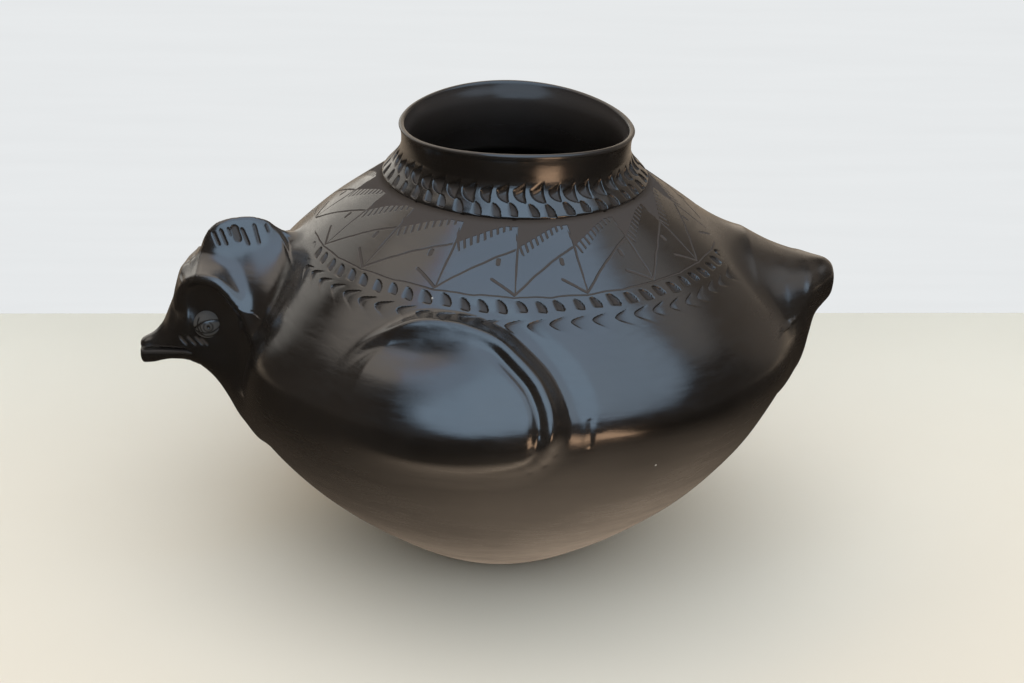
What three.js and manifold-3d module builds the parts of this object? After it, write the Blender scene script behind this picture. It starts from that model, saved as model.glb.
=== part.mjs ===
// Bird effigy pot: a hand-built jar of burnished black earthenware, with a bird's head, wings and tail.
// Millimetres, +Z up. The origin is the centre of the flat base. The beak points along -X and the
// tail along +X, so the bird's left side is on -Y.
import * as THREE from "three";
import Module from "manifold-3d";
import { mergeVertices } from "three/addons/utils/BufferGeometryUtils.js";

const wasm = await Module();
wasm.setup();

// Vessel
const BASE_RADIUS = 38;
const BASE_FLARE_DEG = 28.4;
const BELLY_RADIUS = 122.3;
const BELLY_HEIGHT = 95;
const BELLY_FULLNESS_BELOW = 21.3;
const BELLY_FULLNESS_ABOVE = 10;
const BASE_CURL = 0.508 * BELLY_RADIUS;
const SHOULDER_INSET = 38.3;
const SHOULDER_RADIUS = BELLY_RADIUS - SHOULDER_INSET;
const SHOULDER_HEIGHT = 139.6;
const SHOULDER_SLOPE_DEG = 37.7;
const SHOULDER_SWEEP = 30;
const NECK_BASE_INSET = 28;
const NECK_BASE_RADIUS = SHOULDER_RADIUS - NECK_BASE_INSET;
const COLLAR_RELIEF = 1.2;
const COLLAR_ROUNDING = 2.6;
const NECK_WAIST_INSET = 6.4;
const NECK_RADIUS = NECK_BASE_RADIUS - NECK_WAIST_INSET;
const NECK_LENGTH = 22.8;
const NECK_WAIST_SHARE = 0.56;
const NECK_WAIST_STRAIGHT = 2;
const RIM_FLARE = 1;
const RIM_RADIUS = NECK_RADIUS + RIM_FLARE;
const RIM_DIP = 1.8;
const NECK_OVALITY = 0.045;
const OVAL_START_HEIGHT = 136;
const LEAN = 3.4;
const LEAN_START_HEIGHT = 70;
const LEAN_FULL_HEIGHT = 136;
const WALL = 5.5;
const LIP = 4;
const FLOOR_THICKNESS = 8;
const PRESS_DEPTH = 20;
const PRESS_SPREAD_DEG = 23;
const PRESS_LOW_HEIGHT = 58;
const PRESS_HIGH_HEIGHT = 146;
const BOWL_SEAM_HEIGHT = 42;
const BELLY_SEAM_DROP = 27;
const BELLY_SEAM_HEIGHT = BELLY_HEIGHT - BELLY_SEAM_DROP;
const SHOULDER_SEAM_DROP = 11.6;
const SHOULDER_SEAM_HEIGHT = SHOULDER_HEIGHT - SHOULDER_SEAM_DROP;

// Head and tail are measured forward from this reach and up from this height
const FACE_STANDOFF = 2.7;
const FACE_RISE = 6;
const FACE_REACH = BELLY_RADIUS + FACE_STANDOFF;
const FACE_HEIGHT = BELLY_HEIGHT + FACE_RISE;

// Head
const BEAK_REACH = 26.5;
const MOUTH_RISE = -17.2;
const MOUTH_CORNER_RISE = -14.6;
const MOUTH_CORNER_FORWARD = 8;
const MOUTH_OPENING = 1.2;
const BILL_ROOT_FORWARD = 5.5;
const BILL_DEPTH = 7;
const SOCKET = { forward: -2, side: 24, up: 5.5, length: 14, depth: 10, height: 13.5 };
const EYE = { forward: -2.5, side: 13.6, up: -1.5, length: 6.6, depth: 3.6, height: 4.6, tiltDeg: -16 };
const COMB_CREST_THICKNESS = 4;
const COMB_FLARE_POWER = 2.2;
const BROW_THICKNESS = 3.4;
const BROW_DEPTH = 5;
const BROW_END_SHARE = 0.3;
const BROW_LEAN = 0.5;

// Wings, measured along the belly from the widest ring
const WING_CENTRE_DEG = 17;
const WING_HALF_LENGTH = 50;
const WING_UPPER_REACH = 49;
const WING_LOWER_REACH = 21;
const WING_RELIEF = 4.5;
const WING_EDGE = 1.2;
const WING_SQUARENESS = 2.4;

// Clearance between pieces that are luted together on a curved face
const GAP = 0.3;

// Fineness of the faceted surfaces
const VESSEL_SIDES = 56;
const BOWL_STEPS = { outside: 10, inside: 7 };
const BELLY_STEPS = { outside: 4, inside: 3 };
const SHOULDER_STEPS = { outside: 5, inside: 3 };
const NECK_STEPS = 5;
const SECTION_POINTS = 24;
const COMB_STEPS = 6;
const BROW_STEPS = 14;
const BROW_SIDES = 10;
const WING_POINTS = 32;
const WING_RINGS = 5;

// How far a cutting form reaches past what it cuts
const CUTTER_OVERSHOOT = 5;
const CUTTER_HALF_WIDTH = 30;

const SHOULDER_SLOPE = THREE.MathUtils.degToRad(SHOULDER_SLOPE_DEG);
const BASE_FLARE = THREE.MathUtils.degToRad(BASE_FLARE_DEG);
const NECK_SEAM_HEIGHT =
  SHOULDER_HEIGHT + (SHOULDER_RADIUS - NECK_BASE_RADIUS) * Math.tan(SHOULDER_SLOPE);
const NECK_WAIST_HEIGHT = NECK_SEAM_HEIGHT + NECK_WAIST_SHARE * NECK_LENGTH;
const RIM_HEIGHT = NECK_SEAM_HEIGHT + NECK_LENGTH;

// Heads of effigy jars are solid clay; each row is one upright cross-section of this one.
// power: 2 is an ellipse, less is pointed and more is boxy.
const HEAD_SECTIONS = [
  { forward: BEAK_REACH, top: -13.8, bottom: -22.3, middle: -18, half: 3, crown: 2.2, jaw: 2.4 },
  { forward: BEAK_REACH - 1.5, top: -12.6, bottom: -23.5, middle: -18, half: 4.6, crown: 2, jaw: 2.2 },
  { forward: BEAK_REACH - 5.5, top: -10.2, bottom: -23, middle: -18, half: 6.2, crown: 1.8, jaw: 2.2 },
  { forward: BEAK_REACH - 9.5, top: -5.5, bottom: -21.6, middle: -17, half: 8, crown: 1.6, jaw: 2.2 },
  { forward: 13, top: 4, bottom: -20.8, middle: -15, half: 10, crown: 1.5, jaw: 2.2 },
  { forward: 9, top: 10.3, bottom: -20.8, middle: -12, half: 12.5, crown: 1.8, jaw: 2.2 },
  { forward: 5, top: 15, bottom: -22, middle: -8, half: 15.5, crown: 2.5, jaw: 2.1 },
  { forward: 0, top: 18.3, bottom: -25, middle: -4, half: 18.5, crown: 3.4, jaw: 2 },
  { forward: -5, top: 19.5, bottom: -30, middle: -4, half: 20.5, crown: 3.4, jaw: 2 },
  { forward: -11, top: 21, bottom: -37.5, middle: -5, half: 22.5, crown: 3, jaw: 2 },
  { forward: -17, top: 23.5, bottom: -47.5, middle: -7, half: 26, crown: 2.4, jaw: 2 },
  { forward: -25, top: 27, bottom: -56, middle: -9, half: 33, crown: 2, jaw: 2 },
  { forward: -45, top: 30, bottom: -58, middle: -10, half: 40, crown: 2, jaw: 2 },
];

// Crest line of the comb, and how far its foot spreads on the crown.
const COMB_SECTIONS = [
  { forward: 5.2, crest: 16.5, foot: 8, spread: 2 },
  { forward: 3, crest: 20.5, foot: 10, spread: 4 },
  { forward: 1, crest: 26.5, foot: 12, spread: 8 },
  { forward: -1, crest: 32, foot: 13, spread: 11 },
  { forward: -3.5, crest: 36, foot: 14, spread: 13 },
  { forward: -7, crest: 38.6, foot: 15, spread: 15 },
  { forward: -13, crest: 40.3, foot: 17, spread: 17 },
  { forward: -19, crest: 41, foot: 19, spread: 20 },
  { forward: -26, crest: 40.3, foot: 19, spread: 24 },
  { forward: -31, crest: 38.2, foot: 18, spread: 26 },
  { forward: -35, crest: 35.6, foot: 18, spread: 27 },
  { forward: -39, crest: 32, foot: 18, spread: 27 },
];

// The brow fold rises from the bridge, arches over the eye and falls along the side of the head.
const BROW_PATH = [
  { forward: 8.8, side: 6.5, up: 9.5 },
  { forward: 6.8, side: 12.5, up: 16.5 },
  { forward: 2.5, side: 17.5, up: 20 },
  { forward: -3, side: 20, up: 19 },
  { forward: -8.5, side: 21.5, up: 14.5 },
  { forward: -14, side: 22.8, up: 8 },
  { forward: -19.5, side: 24, up: 2.5 },
  { forward: -24, side: 26, up: -1.5 },
];

// The tail is a wedge with a flat top and a keel below, measured outward and up as the head is.
const TAIL_SECTIONS = [
  { forward: 15, top: 18, bottom: 10, middle: 15.5, half: 1.8, crown: 2.2, jaw: 1.8 },
  { forward: 13.6, top: 21, bottom: 6.5, middle: 16, half: 4.2, crown: 2.2, jaw: 1.7 },
  { forward: 10.5, top: 23, bottom: 3, middle: 16.5, half: 8, crown: 2.1, jaw: 1.6 },
  { forward: 6, top: 23.8, bottom: -2, middle: 15.5, half: 13.5, crown: 2.1, jaw: 1.6 },
  { forward: 2.5, top: 24.4, bottom: -11, middle: 13.5, half: 18, crown: 2.1, jaw: 1.6 },
  { forward: -2, top: 25.4, bottom: -26, middle: 10.5, half: 22.5, crown: 2, jaw: 1.6 },
  { forward: -10, top: 28, bottom: -38, middle: 8, half: 26, crown: 2, jaw: 1.8 },
  { forward: -24, top: 34, bottom: -40, middle: 6, half: 28, crown: 2, jaw: 2 },
];

// A closed geometry as a solid, with its coincident corners merged.
function toSolid(geometry) {
  const bare = geometry.clone();
  bare.deleteAttribute("normal");
  bare.deleteAttribute("uv");
  const merged = mergeVertices(bare, 1e-3);
  return new wasm.Manifold(
    new wasm.Mesh({
      numProp: 3,
      vertProperties: merged.attributes.position.array,
      triVerts: new Uint32Array(merged.index.array),
    }),
  );
}

function toGeometry(solid) {
  const mesh = solid.getMesh();
  const geometry = new THREE.BufferGeometry();
  geometry.setAttribute("position", new THREE.BufferAttribute(mesh.vertProperties, 3));
  geometry.setIndex(new THREE.BufferAttribute(mesh.triVerts, 1));
  const faceted = geometry.toNonIndexed();
  faceted.computeVertexNormals();
  return faceted;
}

// Joins closed rings of equal length into one skin and closes both ends.
function loft(rings) {
  const count = rings[0].length;
  const points = rings.flat();
  const faces = [];
  rings.slice(1).forEach((_, row) => {
    for (let i = 0; i < count; i += 1) {
      const a = row * count + i;
      const b = row * count + ((i + 1) % count);
      faces.push(a, b, a + count, b, b + count, a + count);
    }
  });
  for (const row of [0, rings.length - 1]) {
    const centre = points.length;
    const sum = new THREE.Vector3();
    rings[row].forEach((p) => sum.add(p));
    points.push(sum.divideScalar(count));
    for (let i = 0; i < count; i += 1) {
      const a = row * count + i;
      const b = row * count + ((i + 1) % count);
      faces.push(...(row === 0 ? [centre, b, a] : [centre, a, b]));
    }
  }
  const geometry = new THREE.BufferGeometry().setFromPoints(points);
  geometry.setIndex(faces);
  return facingOut(geometry);
}

// Turns a closed indexed skin round when its signed volume says that it faces inwards.
function facingOut(geometry) {
  const index = geometry.index.array;
  const corner = (i) => new THREE.Vector3().fromBufferAttribute(geometry.attributes.position, index[i]);
  let volume = 0;
  for (let i = 0; i < index.length; i += 3) {
    volume += corner(i).dot(corner(i + 1).cross(corner(i + 2)));
  }
  if (volume < 0) {
    for (let i = 0; i < index.length; i += 3) {
      [index[i + 1], index[i + 2]] = [index[i + 2], index[i + 1]];
    }
  }
  return geometry;
}

// The outline of the vessel from the base to the foot of the neck, as radius and height.
function bodyOutline() {
  const outline = new THREE.CurvePath();
  const cosine = Math.cos(SHOULDER_SLOPE);
  const sine = Math.sin(SHOULDER_SLOPE);
  outline.add(
    new THREE.CubicBezierCurve(
      new THREE.Vector2(BASE_RADIUS, 0),
      new THREE.Vector2(BASE_RADIUS + BASE_CURL * Math.cos(BASE_FLARE), BASE_CURL * Math.sin(BASE_FLARE)),
      new THREE.Vector2(BELLY_RADIUS, BELLY_HEIGHT - BELLY_FULLNESS_BELOW),
      new THREE.Vector2(BELLY_RADIUS, BELLY_HEIGHT),
    ),
  );
  outline.add(
    new THREE.CubicBezierCurve(
      new THREE.Vector2(BELLY_RADIUS, BELLY_HEIGHT),
      new THREE.Vector2(BELLY_RADIUS, BELLY_HEIGHT + BELLY_FULLNESS_ABOVE),
      new THREE.Vector2(
        SHOULDER_RADIUS + SHOULDER_SWEEP * cosine,
        SHOULDER_HEIGHT - SHOULDER_SWEEP * sine,
      ),
      new THREE.Vector2(SHOULDER_RADIUS, SHOULDER_HEIGHT),
    ),
  );
  outline.add(
    new THREE.LineCurve(
      new THREE.Vector2(SHOULDER_RADIUS, SHOULDER_HEIGHT),
      new THREE.Vector2(NECK_BASE_RADIUS, NECK_SEAM_HEIGHT),
    ),
  );
  return outline.getSpacedPoints(400);
}

// The neck: a raised collar with a rounded foot, a concave waist and a flared rim.
function neckOutline() {
  const collarTop = NECK_SEAM_HEIGHT + COLLAR_ROUNDING;
  return [
    new THREE.Vector2(NECK_BASE_RADIUS, NECK_SEAM_HEIGHT),
    new THREE.Vector2(NECK_BASE_RADIUS + COLLAR_RELIEF, NECK_SEAM_HEIGHT + COLLAR_ROUNDING / 3),
    new THREE.Vector2(NECK_BASE_RADIUS + COLLAR_RELIEF / 2, collarTop),
    ...new THREE.CubicBezierCurve(
      new THREE.Vector2(NECK_BASE_RADIUS + COLLAR_RELIEF / 2, collarTop),
      new THREE.Vector2((NECK_BASE_RADIUS + NECK_RADIUS) / 2, (collarTop + NECK_WAIST_HEIGHT) / 2),
      new THREE.Vector2(NECK_RADIUS, NECK_WAIST_HEIGHT - NECK_WAIST_STRAIGHT),
      new THREE.Vector2(NECK_RADIUS, NECK_WAIST_HEIGHT),
    ).getSpacedPoints(NECK_STEPS).slice(1),
    new THREE.Vector2(RIM_RADIUS - LIP / 8, RIM_HEIGHT - LIP / 2),
  ];
}

// Points moved sideways by a distance: to the right of the direction of travel when positive.
function offset(points, distance) {
  return points.map((p, i) => {
    const before = points[Math.max(i - 1, 0)];
    const after = points[Math.min(i + 1, points.length - 1)];
    const along = new THREE.Vector2().subVectors(after, before).normalize();
    return new THREE.Vector2(p.x + along.y * distance, p.y - along.x * distance);
  });
}

function pointAtHeight(points, height) {
  const i = Math.min(
    Math.max(points.findIndex((p) => p.y >= height), 1),
    points.length - 1,
  );
  const share = (height - points[i - 1].y) / (points[i].y - points[i - 1].y);
  return new THREE.Vector2().lerpVectors(points[i - 1], points[i], share);
}

// The stretch of an outline between two heights, in evenly spaced steps.
function between(points, low, high, steps) {
  const inside = points.filter((p) => p.y > low && p.y < high);
  const path = new THREE.CurvePath();
  const all = [pointAtHeight(points, low), ...inside, pointAtHeight(points, high)];
  all.slice(1).forEach((p, i) => path.add(new THREE.LineCurve(all[i], p)));
  return path.getSpacedPoints(steps);
}

const outer = bodyOutline();

// The inner outline runs on up the straight of the shoulder, so that it reaches the neck's seam.
const shoulderRun = new THREE.Vector2(-Math.cos(SHOULDER_SLOPE), Math.sin(SHOULDER_SLOPE));
const beyondSeam = outer[outer.length - 1].clone().addScaledVector(shoulderRun, 2 * WALL);
const inner = offset([...outer, beyondSeam], -WALL);

// The wall round the head is pressed in towards the axis, so that the head stands clear of the belly.
// Above the belly the pot leans a little towards the tail, and its neck is squeezed to an oval.
function handShape(point) {
  const { x, y, z } = point;
  const radius = Math.hypot(x, y);
  const fromHead = Math.PI - Math.abs(Math.atan2(y, x));
  const spread = THREE.MathUtils.degToRad(PRESS_SPREAD_DEG);
  const span = PRESS_HIGH_HEIGHT - PRESS_LOW_HEIGHT;
  const level = THREE.MathUtils.clamp((z - PRESS_LOW_HEIGHT) / span, 0, 1);
  const depth = PRESS_DEPTH * Math.exp(-((fromHead / spread) ** 2)) * Math.sin(Math.PI * level) ** 2;
  const share = depth > 0 ? (radius - depth) / radius : 1;
  const lean = LEAN * THREE.MathUtils.smoothstep(z, LEAN_START_HEIGHT, LEAN_FULL_HEIGHT);
  const squeeze = NECK_OVALITY * THREE.MathUtils.smoothstep(z, OVAL_START_HEIGHT, RIM_HEIGHT);
  return point.set(x * share * (1 - squeeze) + lean, y * share * (1 + squeeze), z);
}

// A profile turned round the pot's axis and shaped by hand.
function turned(profile) {
  const geometry = new THREE.LatheGeometry(profile, VESSEL_SIDES).rotateX(Math.PI / 2);
  const position = geometry.attributes.position;
  const point = new THREE.Vector3();
  for (let i = 0; i < position.count; i += 1) {
    point.fromBufferAttribute(position, i);
    position.setXYZ(i, ...handShape(point));
  }
  return facingOut(geometry);
}

const bowlOutside = between(outer, 0, BOWL_SEAM_HEIGHT, BOWL_STEPS.outside);
const lowerBellyOutside = between(outer, BOWL_SEAM_HEIGHT, BELLY_SEAM_HEIGHT, BELLY_STEPS.outside);
const middleBellyOutside = between(outer, BELLY_SEAM_HEIGHT, BELLY_HEIGHT, BELLY_STEPS.outside);
const upperBellyOutside = between(outer, BELLY_HEIGHT, SHOULDER_SEAM_HEIGHT, BELLY_STEPS.outside);
const shoulderOutside = between(outer, SHOULDER_SEAM_HEIGHT, NECK_SEAM_HEIGHT, SHOULDER_STEPS.outside);

// A ring of wall on its outside profile, with a flat seam at each end.
function wallRing(outside, innerSteps) {
  const low = outside[0].y;
  const high = outside[outside.length - 1].y;
  const inside = between(inner, low, high, innerSteps).reverse();
  return turned([...outside, ...inside, outside[0].clone()]);
}

function baseBowl() {
  const inside = between(inner, FLOOR_THICKNESS, BOWL_SEAM_HEIGHT, BOWL_STEPS.inside).reverse();
  const floor = new THREE.Vector2(0, FLOOR_THICKNESS);
  return turned([new THREE.Vector2(0, 0), ...bowlOutside, ...inside, floor]);
}

// The neck's wall thins from the body's to the lip's, and the rim dips over the beak and the tail.
function neck() {
  const outside = neckOutline();
  const lipTop = new THREE.Vector2(RIM_RADIUS - LIP / 2, RIM_HEIGHT);
  const inside = [
    new THREE.Vector2(RIM_RADIUS - LIP, RIM_HEIGHT - LIP / 2),
    new THREE.Vector2(NECK_RADIUS - LIP, NECK_WAIST_HEIGHT),
    pointAtHeight(inner, NECK_SEAM_HEIGHT),
  ];
  const geometry = turned([...outside, lipTop, ...inside, outside[0].clone()]);
  const position = geometry.attributes.position;
  for (let i = 0; i < position.count; i += 1) {
    const share = (position.getZ(i) - NECK_SEAM_HEIGHT) / NECK_LENGTH;
    const round = 2 * Math.atan2(position.getY(i), position.getX(i));
    position.setZ(i, position.getZ(i) - RIM_DIP * Math.cos(round) * share * share);
  }
  return geometry;
}

// The whole vessel as one filled form, grown by the clearance, to cut what is luted on it.
function vesselForm() {
  const upward = [lowerBellyOutside, middleBellyOutside, upperBellyOutside, shoulderOutside];
  const outside = [...bowlOutside, ...upward.flatMap((ring) => ring.slice(1))];
  const grown = offset(outside, GAP);
  const foot = new THREE.Vector2(0, grown[0].y);
  const crown = new THREE.Vector2(0, grown[grown.length - 1].y);
  return toSolid(turned([foot, ...grown, crown]));
}

// A closed egg-shaped ring on the head's side (direction -1) or the tail's (direction 1). Its upper
// and lower halves each have their own roundness.
function eggRing(section, direction, grow) {
  const ring = [];
  for (let i = 0; i < SECTION_POINTS; i += 1) {
    const turn = (2 * Math.PI * i) / SECTION_POINTS;
    const cosine = Math.cos(turn);
    const sine = Math.sin(turn);
    const power = sine >= 0 ? section.crown : section.jaw;
    const height = sine >= 0 ? section.top - section.middle : section.middle - section.bottom;
    const across = Math.sign(cosine) * Math.abs(cosine) ** (2 / power);
    const upward = Math.sign(sine) * Math.abs(sine) ** (2 / power);
    ring.push(
      new THREE.Vector3(
        direction * (FACE_REACH + section.forward),
        (section.half + grow) * across,
        FACE_HEIGHT + section.middle + (height + grow) * upward,
      ),
    );
  }
  return ring;
}

function ellipsoid({ forward, side, up, length, depth, height, tiltDeg = 0 }, sign, grow = 0) {
  const geometry = new THREE.SphereGeometry(1, 20, 12);
  geometry.rotateX(Math.PI / 2);
  geometry.scale(length + grow, depth + grow, height + grow);
  geometry.rotateY(THREE.MathUtils.degToRad(tiltDeg));
  geometry.translate(-FACE_REACH - forward, sign * side, FACE_HEIGHT + up);
  return toSolid(geometry);
}

// A prism right across the head, from an outline of forward and up values.
function crossPrism(corners) {
  const shape = new THREE.Shape(corners.map(([forward, up]) => new THREE.Vector2(-forward, up)));
  const geometry = new THREE.ExtrudeGeometry(shape, { depth: 2 * CUTTER_HALF_WIDTH, bevelEnabled: false });
  geometry.rotateX(Math.PI / 2);
  geometry.translate(-FACE_REACH, CUTTER_HALF_WIDTH, FACE_HEIGHT);
  return toSolid(geometry);
}

// The room that the lower bill takes below the mouth, grown where the head has to clear it.
function billRegion(grow) {
  const beyond = BEAK_REACH + CUTTER_OVERSHOOT;
  const below = MOUTH_RISE - BILL_DEPTH - CUTTER_OVERSHOOT;
  return crossPrism([
    [beyond, MOUTH_RISE + grow],
    [BILL_ROOT_FORWARD - grow, MOUTH_CORNER_RISE + grow],
    [BILL_ROOT_FORWARD - grow, below],
    [beyond, below],
  ]);
}

// The open slit of the mouth, above the lower bill.
function mouthSlit() {
  const beyond = BEAK_REACH + CUTTER_OVERSHOOT;
  return crossPrism([
    [beyond, MOUTH_RISE + MOUTH_OPENING],
    [MOUTH_CORNER_FORWARD, MOUTH_CORNER_RISE + MOUTH_OPENING],
    [MOUTH_CORNER_FORWARD, MOUTH_CORNER_RISE - GAP],
    [beyond, MOUTH_RISE - GAP],
  ]);
}

const vessel = vesselForm();

function headForm(grow) {
  let form = toSolid(loft(HEAD_SECTIONS.map((s) => eggRing(s, -1, grow))));
  for (const sign of [-1, 1]) form = form.subtract(ellipsoid(SOCKET, sign, -grow));
  return form;
}

function head() {
  return headForm(0).subtract(billRegion(GAP)).subtract(mouthSlit()).subtract(vessel);
}

function lowerBill() {
  return headForm(0).intersect(billRegion(0));
}

// One upright section of the comb: a thin crest whose flanks flare out to a broad foot.
function combRing(section, grow) {
  const half = Math.min(COMB_CREST_THICKNESS / 2, section.spread);
  const crest = section.crest + grow;
  const flank = [[0, crest]];
  for (let i = 1; i <= COMB_STEPS; i += 1) {
    const share = i / COMB_STEPS;
    const rounding = half * Math.sin(Math.min(2 * share, 1) * (Math.PI / 2));
    const flare = (section.spread - half) * share ** COMB_FLARE_POWER;
    flank.push([rounding + flare + grow, crest - (crest - section.foot) * share]);
  }
  const side = (sign) => flank.map(([y, z]) => [sign * y, z]);
  const round = [...side(1), ...side(-1).reverse().slice(0, -1)];
  return round.map(
    ([y, z]) => new THREE.Vector3(-FACE_REACH - section.forward, y, FACE_HEIGHT + z),
  );
}

function combForm(grow) {
  return toSolid(loft(COMB_SECTIONS.map((s) => combRing(s, grow))));
}

// A brow fold: an oval strip swept along its path, thick in the middle and thin at its ends.
function browForm(sign) {
  const curve = new THREE.CatmullRomCurve3(
    BROW_PATH.map(
      (p) => new THREE.Vector3(-FACE_REACH - p.forward, sign * p.side, FACE_HEIGHT + p.up),
    ),
  );
  const rings = [];
  for (let i = 0; i <= BROW_STEPS; i += 1) {
    const along = i / BROW_STEPS;
    const centre = curve.getPointAt(along);
    const tangent = curve.getTangentAt(along);
    const outward = new THREE.Vector3(0, sign, BROW_LEAN).normalize();
    const thick = new THREE.Vector3().crossVectors(tangent, outward).normalize();
    const deep = new THREE.Vector3().crossVectors(thick, tangent).normalize();
    const swell = Math.sqrt(Math.sin(Math.PI * along));
    const taper = BROW_END_SHARE + (1 - BROW_END_SHARE) * swell;
    const ring = [];
    for (let k = 0; k < BROW_SIDES; k += 1) {
      const turn = (2 * Math.PI * k) / BROW_SIDES;
      ring.push(
        centre
          .clone()
          .addScaledVector(thick, (BROW_THICKNESS / 2) * taper * Math.cos(turn))
          .addScaledVector(deep, (BROW_DEPTH / 2) * taper * Math.sin(turn)),
      );
    }
    rings.push(ring);
  }
  return toSolid(loft(rings));
}

// Where the wing lies: an angle round the belly and a length along its outline give a place.
const bellyPath = new THREE.CurvePath();
outer.slice(1).forEach((p, i) => bellyPath.add(new THREE.LineCurve(outer[i], p)));
const bellyLengths = bellyPath.getCurveLengths();
const widest = bellyLengths[outer.findIndex((p) => p.y >= BELLY_HEIGHT) - 1];

function onBelly(around, along, lift) {
  const share = (widest + along) / bellyPath.getLength();
  const place = bellyPath.getPointAt(share);
  const heading = bellyPath.getTangentAt(share);
  const radius = place.x + heading.y * lift;
  const height = place.y - heading.x * lift;
  return handShape(new THREE.Vector3(radius * Math.sin(around), -radius * Math.cos(around), height));
}

// A wing: a domed pad whose outline is a squarish egg, taller above the widest ring than below.
function wing(side) {
  const centre = -THREE.MathUtils.degToRad(WING_CENTRE_DEG);
  const skin = (lift) => {
    const rings = [];
    for (let ring = 1; ring <= WING_RINGS; ring += 1) {
      const reach = ring / WING_RINGS;
      const points = [];
      for (let i = 0; i < WING_POINTS; i += 1) {
        const turn = (2 * Math.PI * i) / WING_POINTS;
        const cosine = Math.cos(turn);
        const sine = Math.sin(turn);
        const across = Math.sign(cosine) * Math.abs(cosine) ** (2 / WING_SQUARENESS);
        const upward = Math.sign(sine) * Math.abs(sine) ** (2 / WING_SQUARENESS);
        const around = centre + (reach * across * WING_HALF_LENGTH) / BELLY_RADIUS;
        const along = reach * upward * (sine >= 0 ? WING_UPPER_REACH : WING_LOWER_REACH);
        points.push(onBelly(around, along, lift(reach)));
      }
      rings.push(points);
    }
    return rings;
  };
  const dome = skin((reach) => GAP + WING_EDGE + WING_RELIEF * (1 - reach ** 2.5));
  const back = skin(() => GAP);
  const form = loft([...dome, ...back.reverse()]);
  if (side > 0) {
    form.scale(1, -1, 1);
    facingOut(form);
  }
  return toSolid(form).subtract(vessel);
}

const clay = (name, color, roughness) =>
  new THREE.MeshStandardMaterial({ name, color, roughness, metalness: 0 });
const burnished = clay("burnished_black_clay", 0x1a1816, 0.3);
const plain = clay("unburnished_black_clay", 0x2a2825, 0.75);

const pot = new THREE.Group();

function add(name, form, material) {
  const geometry = form instanceof THREE.BufferGeometry ? form : toGeometry(form);
  const mesh = new THREE.Mesh(geometry, material);
  mesh.name = name;
  pot.add(mesh);
}

add("base_bowl", baseBowl(), burnished);
add("lower_belly", wallRing(lowerBellyOutside, BELLY_STEPS.inside), burnished);
add("middle_belly", wallRing(middleBellyOutside, BELLY_STEPS.inside), burnished);
add("upper_belly", wallRing(upperBellyOutside, BELLY_STEPS.inside), burnished);
add("shoulder", wallRing(shoulderOutside, SHOULDER_STEPS.inside), burnished);
add("neck", neck(), burnished);

const headGrown = headForm(GAP);
const comb = combForm(0).subtract(headGrown).subtract(vessel);
const combGrown = combForm(GAP);
add("head", head(), burnished);
add("lower_bill", lowerBill(), burnished);
add("comb", comb, burnished);
for (const [side, sign] of [["left", -1], ["right", 1]]) {
  add(`brow_${side}`, browForm(sign).subtract(headGrown).subtract(combGrown).subtract(vessel), burnished);
  add(`eye_${side}`, ellipsoid(EYE, sign).subtract(headGrown), plain);
  add(`wing_${side}`, wing(sign), burnished);
}
const tail = toSolid(loft(TAIL_SECTIONS.map((s) => eggRing(s, 1, 0))));
add("tail", tail.subtract(vessel), burnished);

export default pot;
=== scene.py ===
import logging
import math
from dataclasses import dataclass, field
from enum import Enum
from functools import cached_property
from typing import Callable, Sequence

import bpy
import numpy as np
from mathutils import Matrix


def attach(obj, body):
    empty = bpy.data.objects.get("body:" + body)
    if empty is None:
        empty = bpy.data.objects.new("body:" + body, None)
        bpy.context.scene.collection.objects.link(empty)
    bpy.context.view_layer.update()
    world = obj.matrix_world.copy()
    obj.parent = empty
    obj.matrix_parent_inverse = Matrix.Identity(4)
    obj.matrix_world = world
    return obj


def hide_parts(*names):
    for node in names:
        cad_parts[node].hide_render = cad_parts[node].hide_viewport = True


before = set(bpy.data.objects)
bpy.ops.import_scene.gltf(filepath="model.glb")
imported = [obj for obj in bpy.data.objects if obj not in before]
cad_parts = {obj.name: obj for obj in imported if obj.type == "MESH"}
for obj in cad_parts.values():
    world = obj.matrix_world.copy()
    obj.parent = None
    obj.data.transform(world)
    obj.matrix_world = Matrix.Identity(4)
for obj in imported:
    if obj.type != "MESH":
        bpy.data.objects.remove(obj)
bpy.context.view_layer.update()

import openvdb
from mathutils import Matrix

MM = 0.001
ATTRIBUTE = "carved"
# Points on each curve of the outline and on its straight, and the index of the widest one
CURVE_POINTS, STRAIGHT_POINTS = 300, 60
WIDEST = CURVE_POINTS - 1
# The head and the tail are measured forward from this reach and up from this height
REACH, RISE = 125.0, 101.0
# A luted piece sinks under the wall by this much, from this share of its fillet on
SEAM_SINK, SEAM_START = 0.25, 0.8
# Its shading meets the wall's at this share of the fillet, and it ends this deep in the wall
SHADED_SHARE, UNDER_WALL = 0.72, 3.5
# Units of the frieze, and millimetres of radius, to one side of its UV map
UV_UNITS, UV_RADIUS = 20, 100
# Edges that bend by fewer degrees than this are shaded smooth
SMOOTH_UNDER = 48
# Fields end this far from their surface, and points further than the second from the skin keep
# Blender's own normals
FIELD_BAND, SKIN_BAND = 20.0, 1.2
Array = np.ndarray
Space = tuple[tuple[float, float, float], tuple[float, float, float], float]
log = logging.getLogger("bird_pot")


def smoothstep(low: float, high: float, value: Array) -> Array:
    """Return a soft step from 0 at low to 1 at high."""
    share = np.clip((value - low) / (high - low), 0, 1)
    return share * share * (3 - 2 * share)


def hump(value: Array, at: float, width: float) -> Array:
    """Return a smooth hump, 1 high where the value is at its place."""
    return np.exp(-(((value - at) / width) ** 2))


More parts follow.
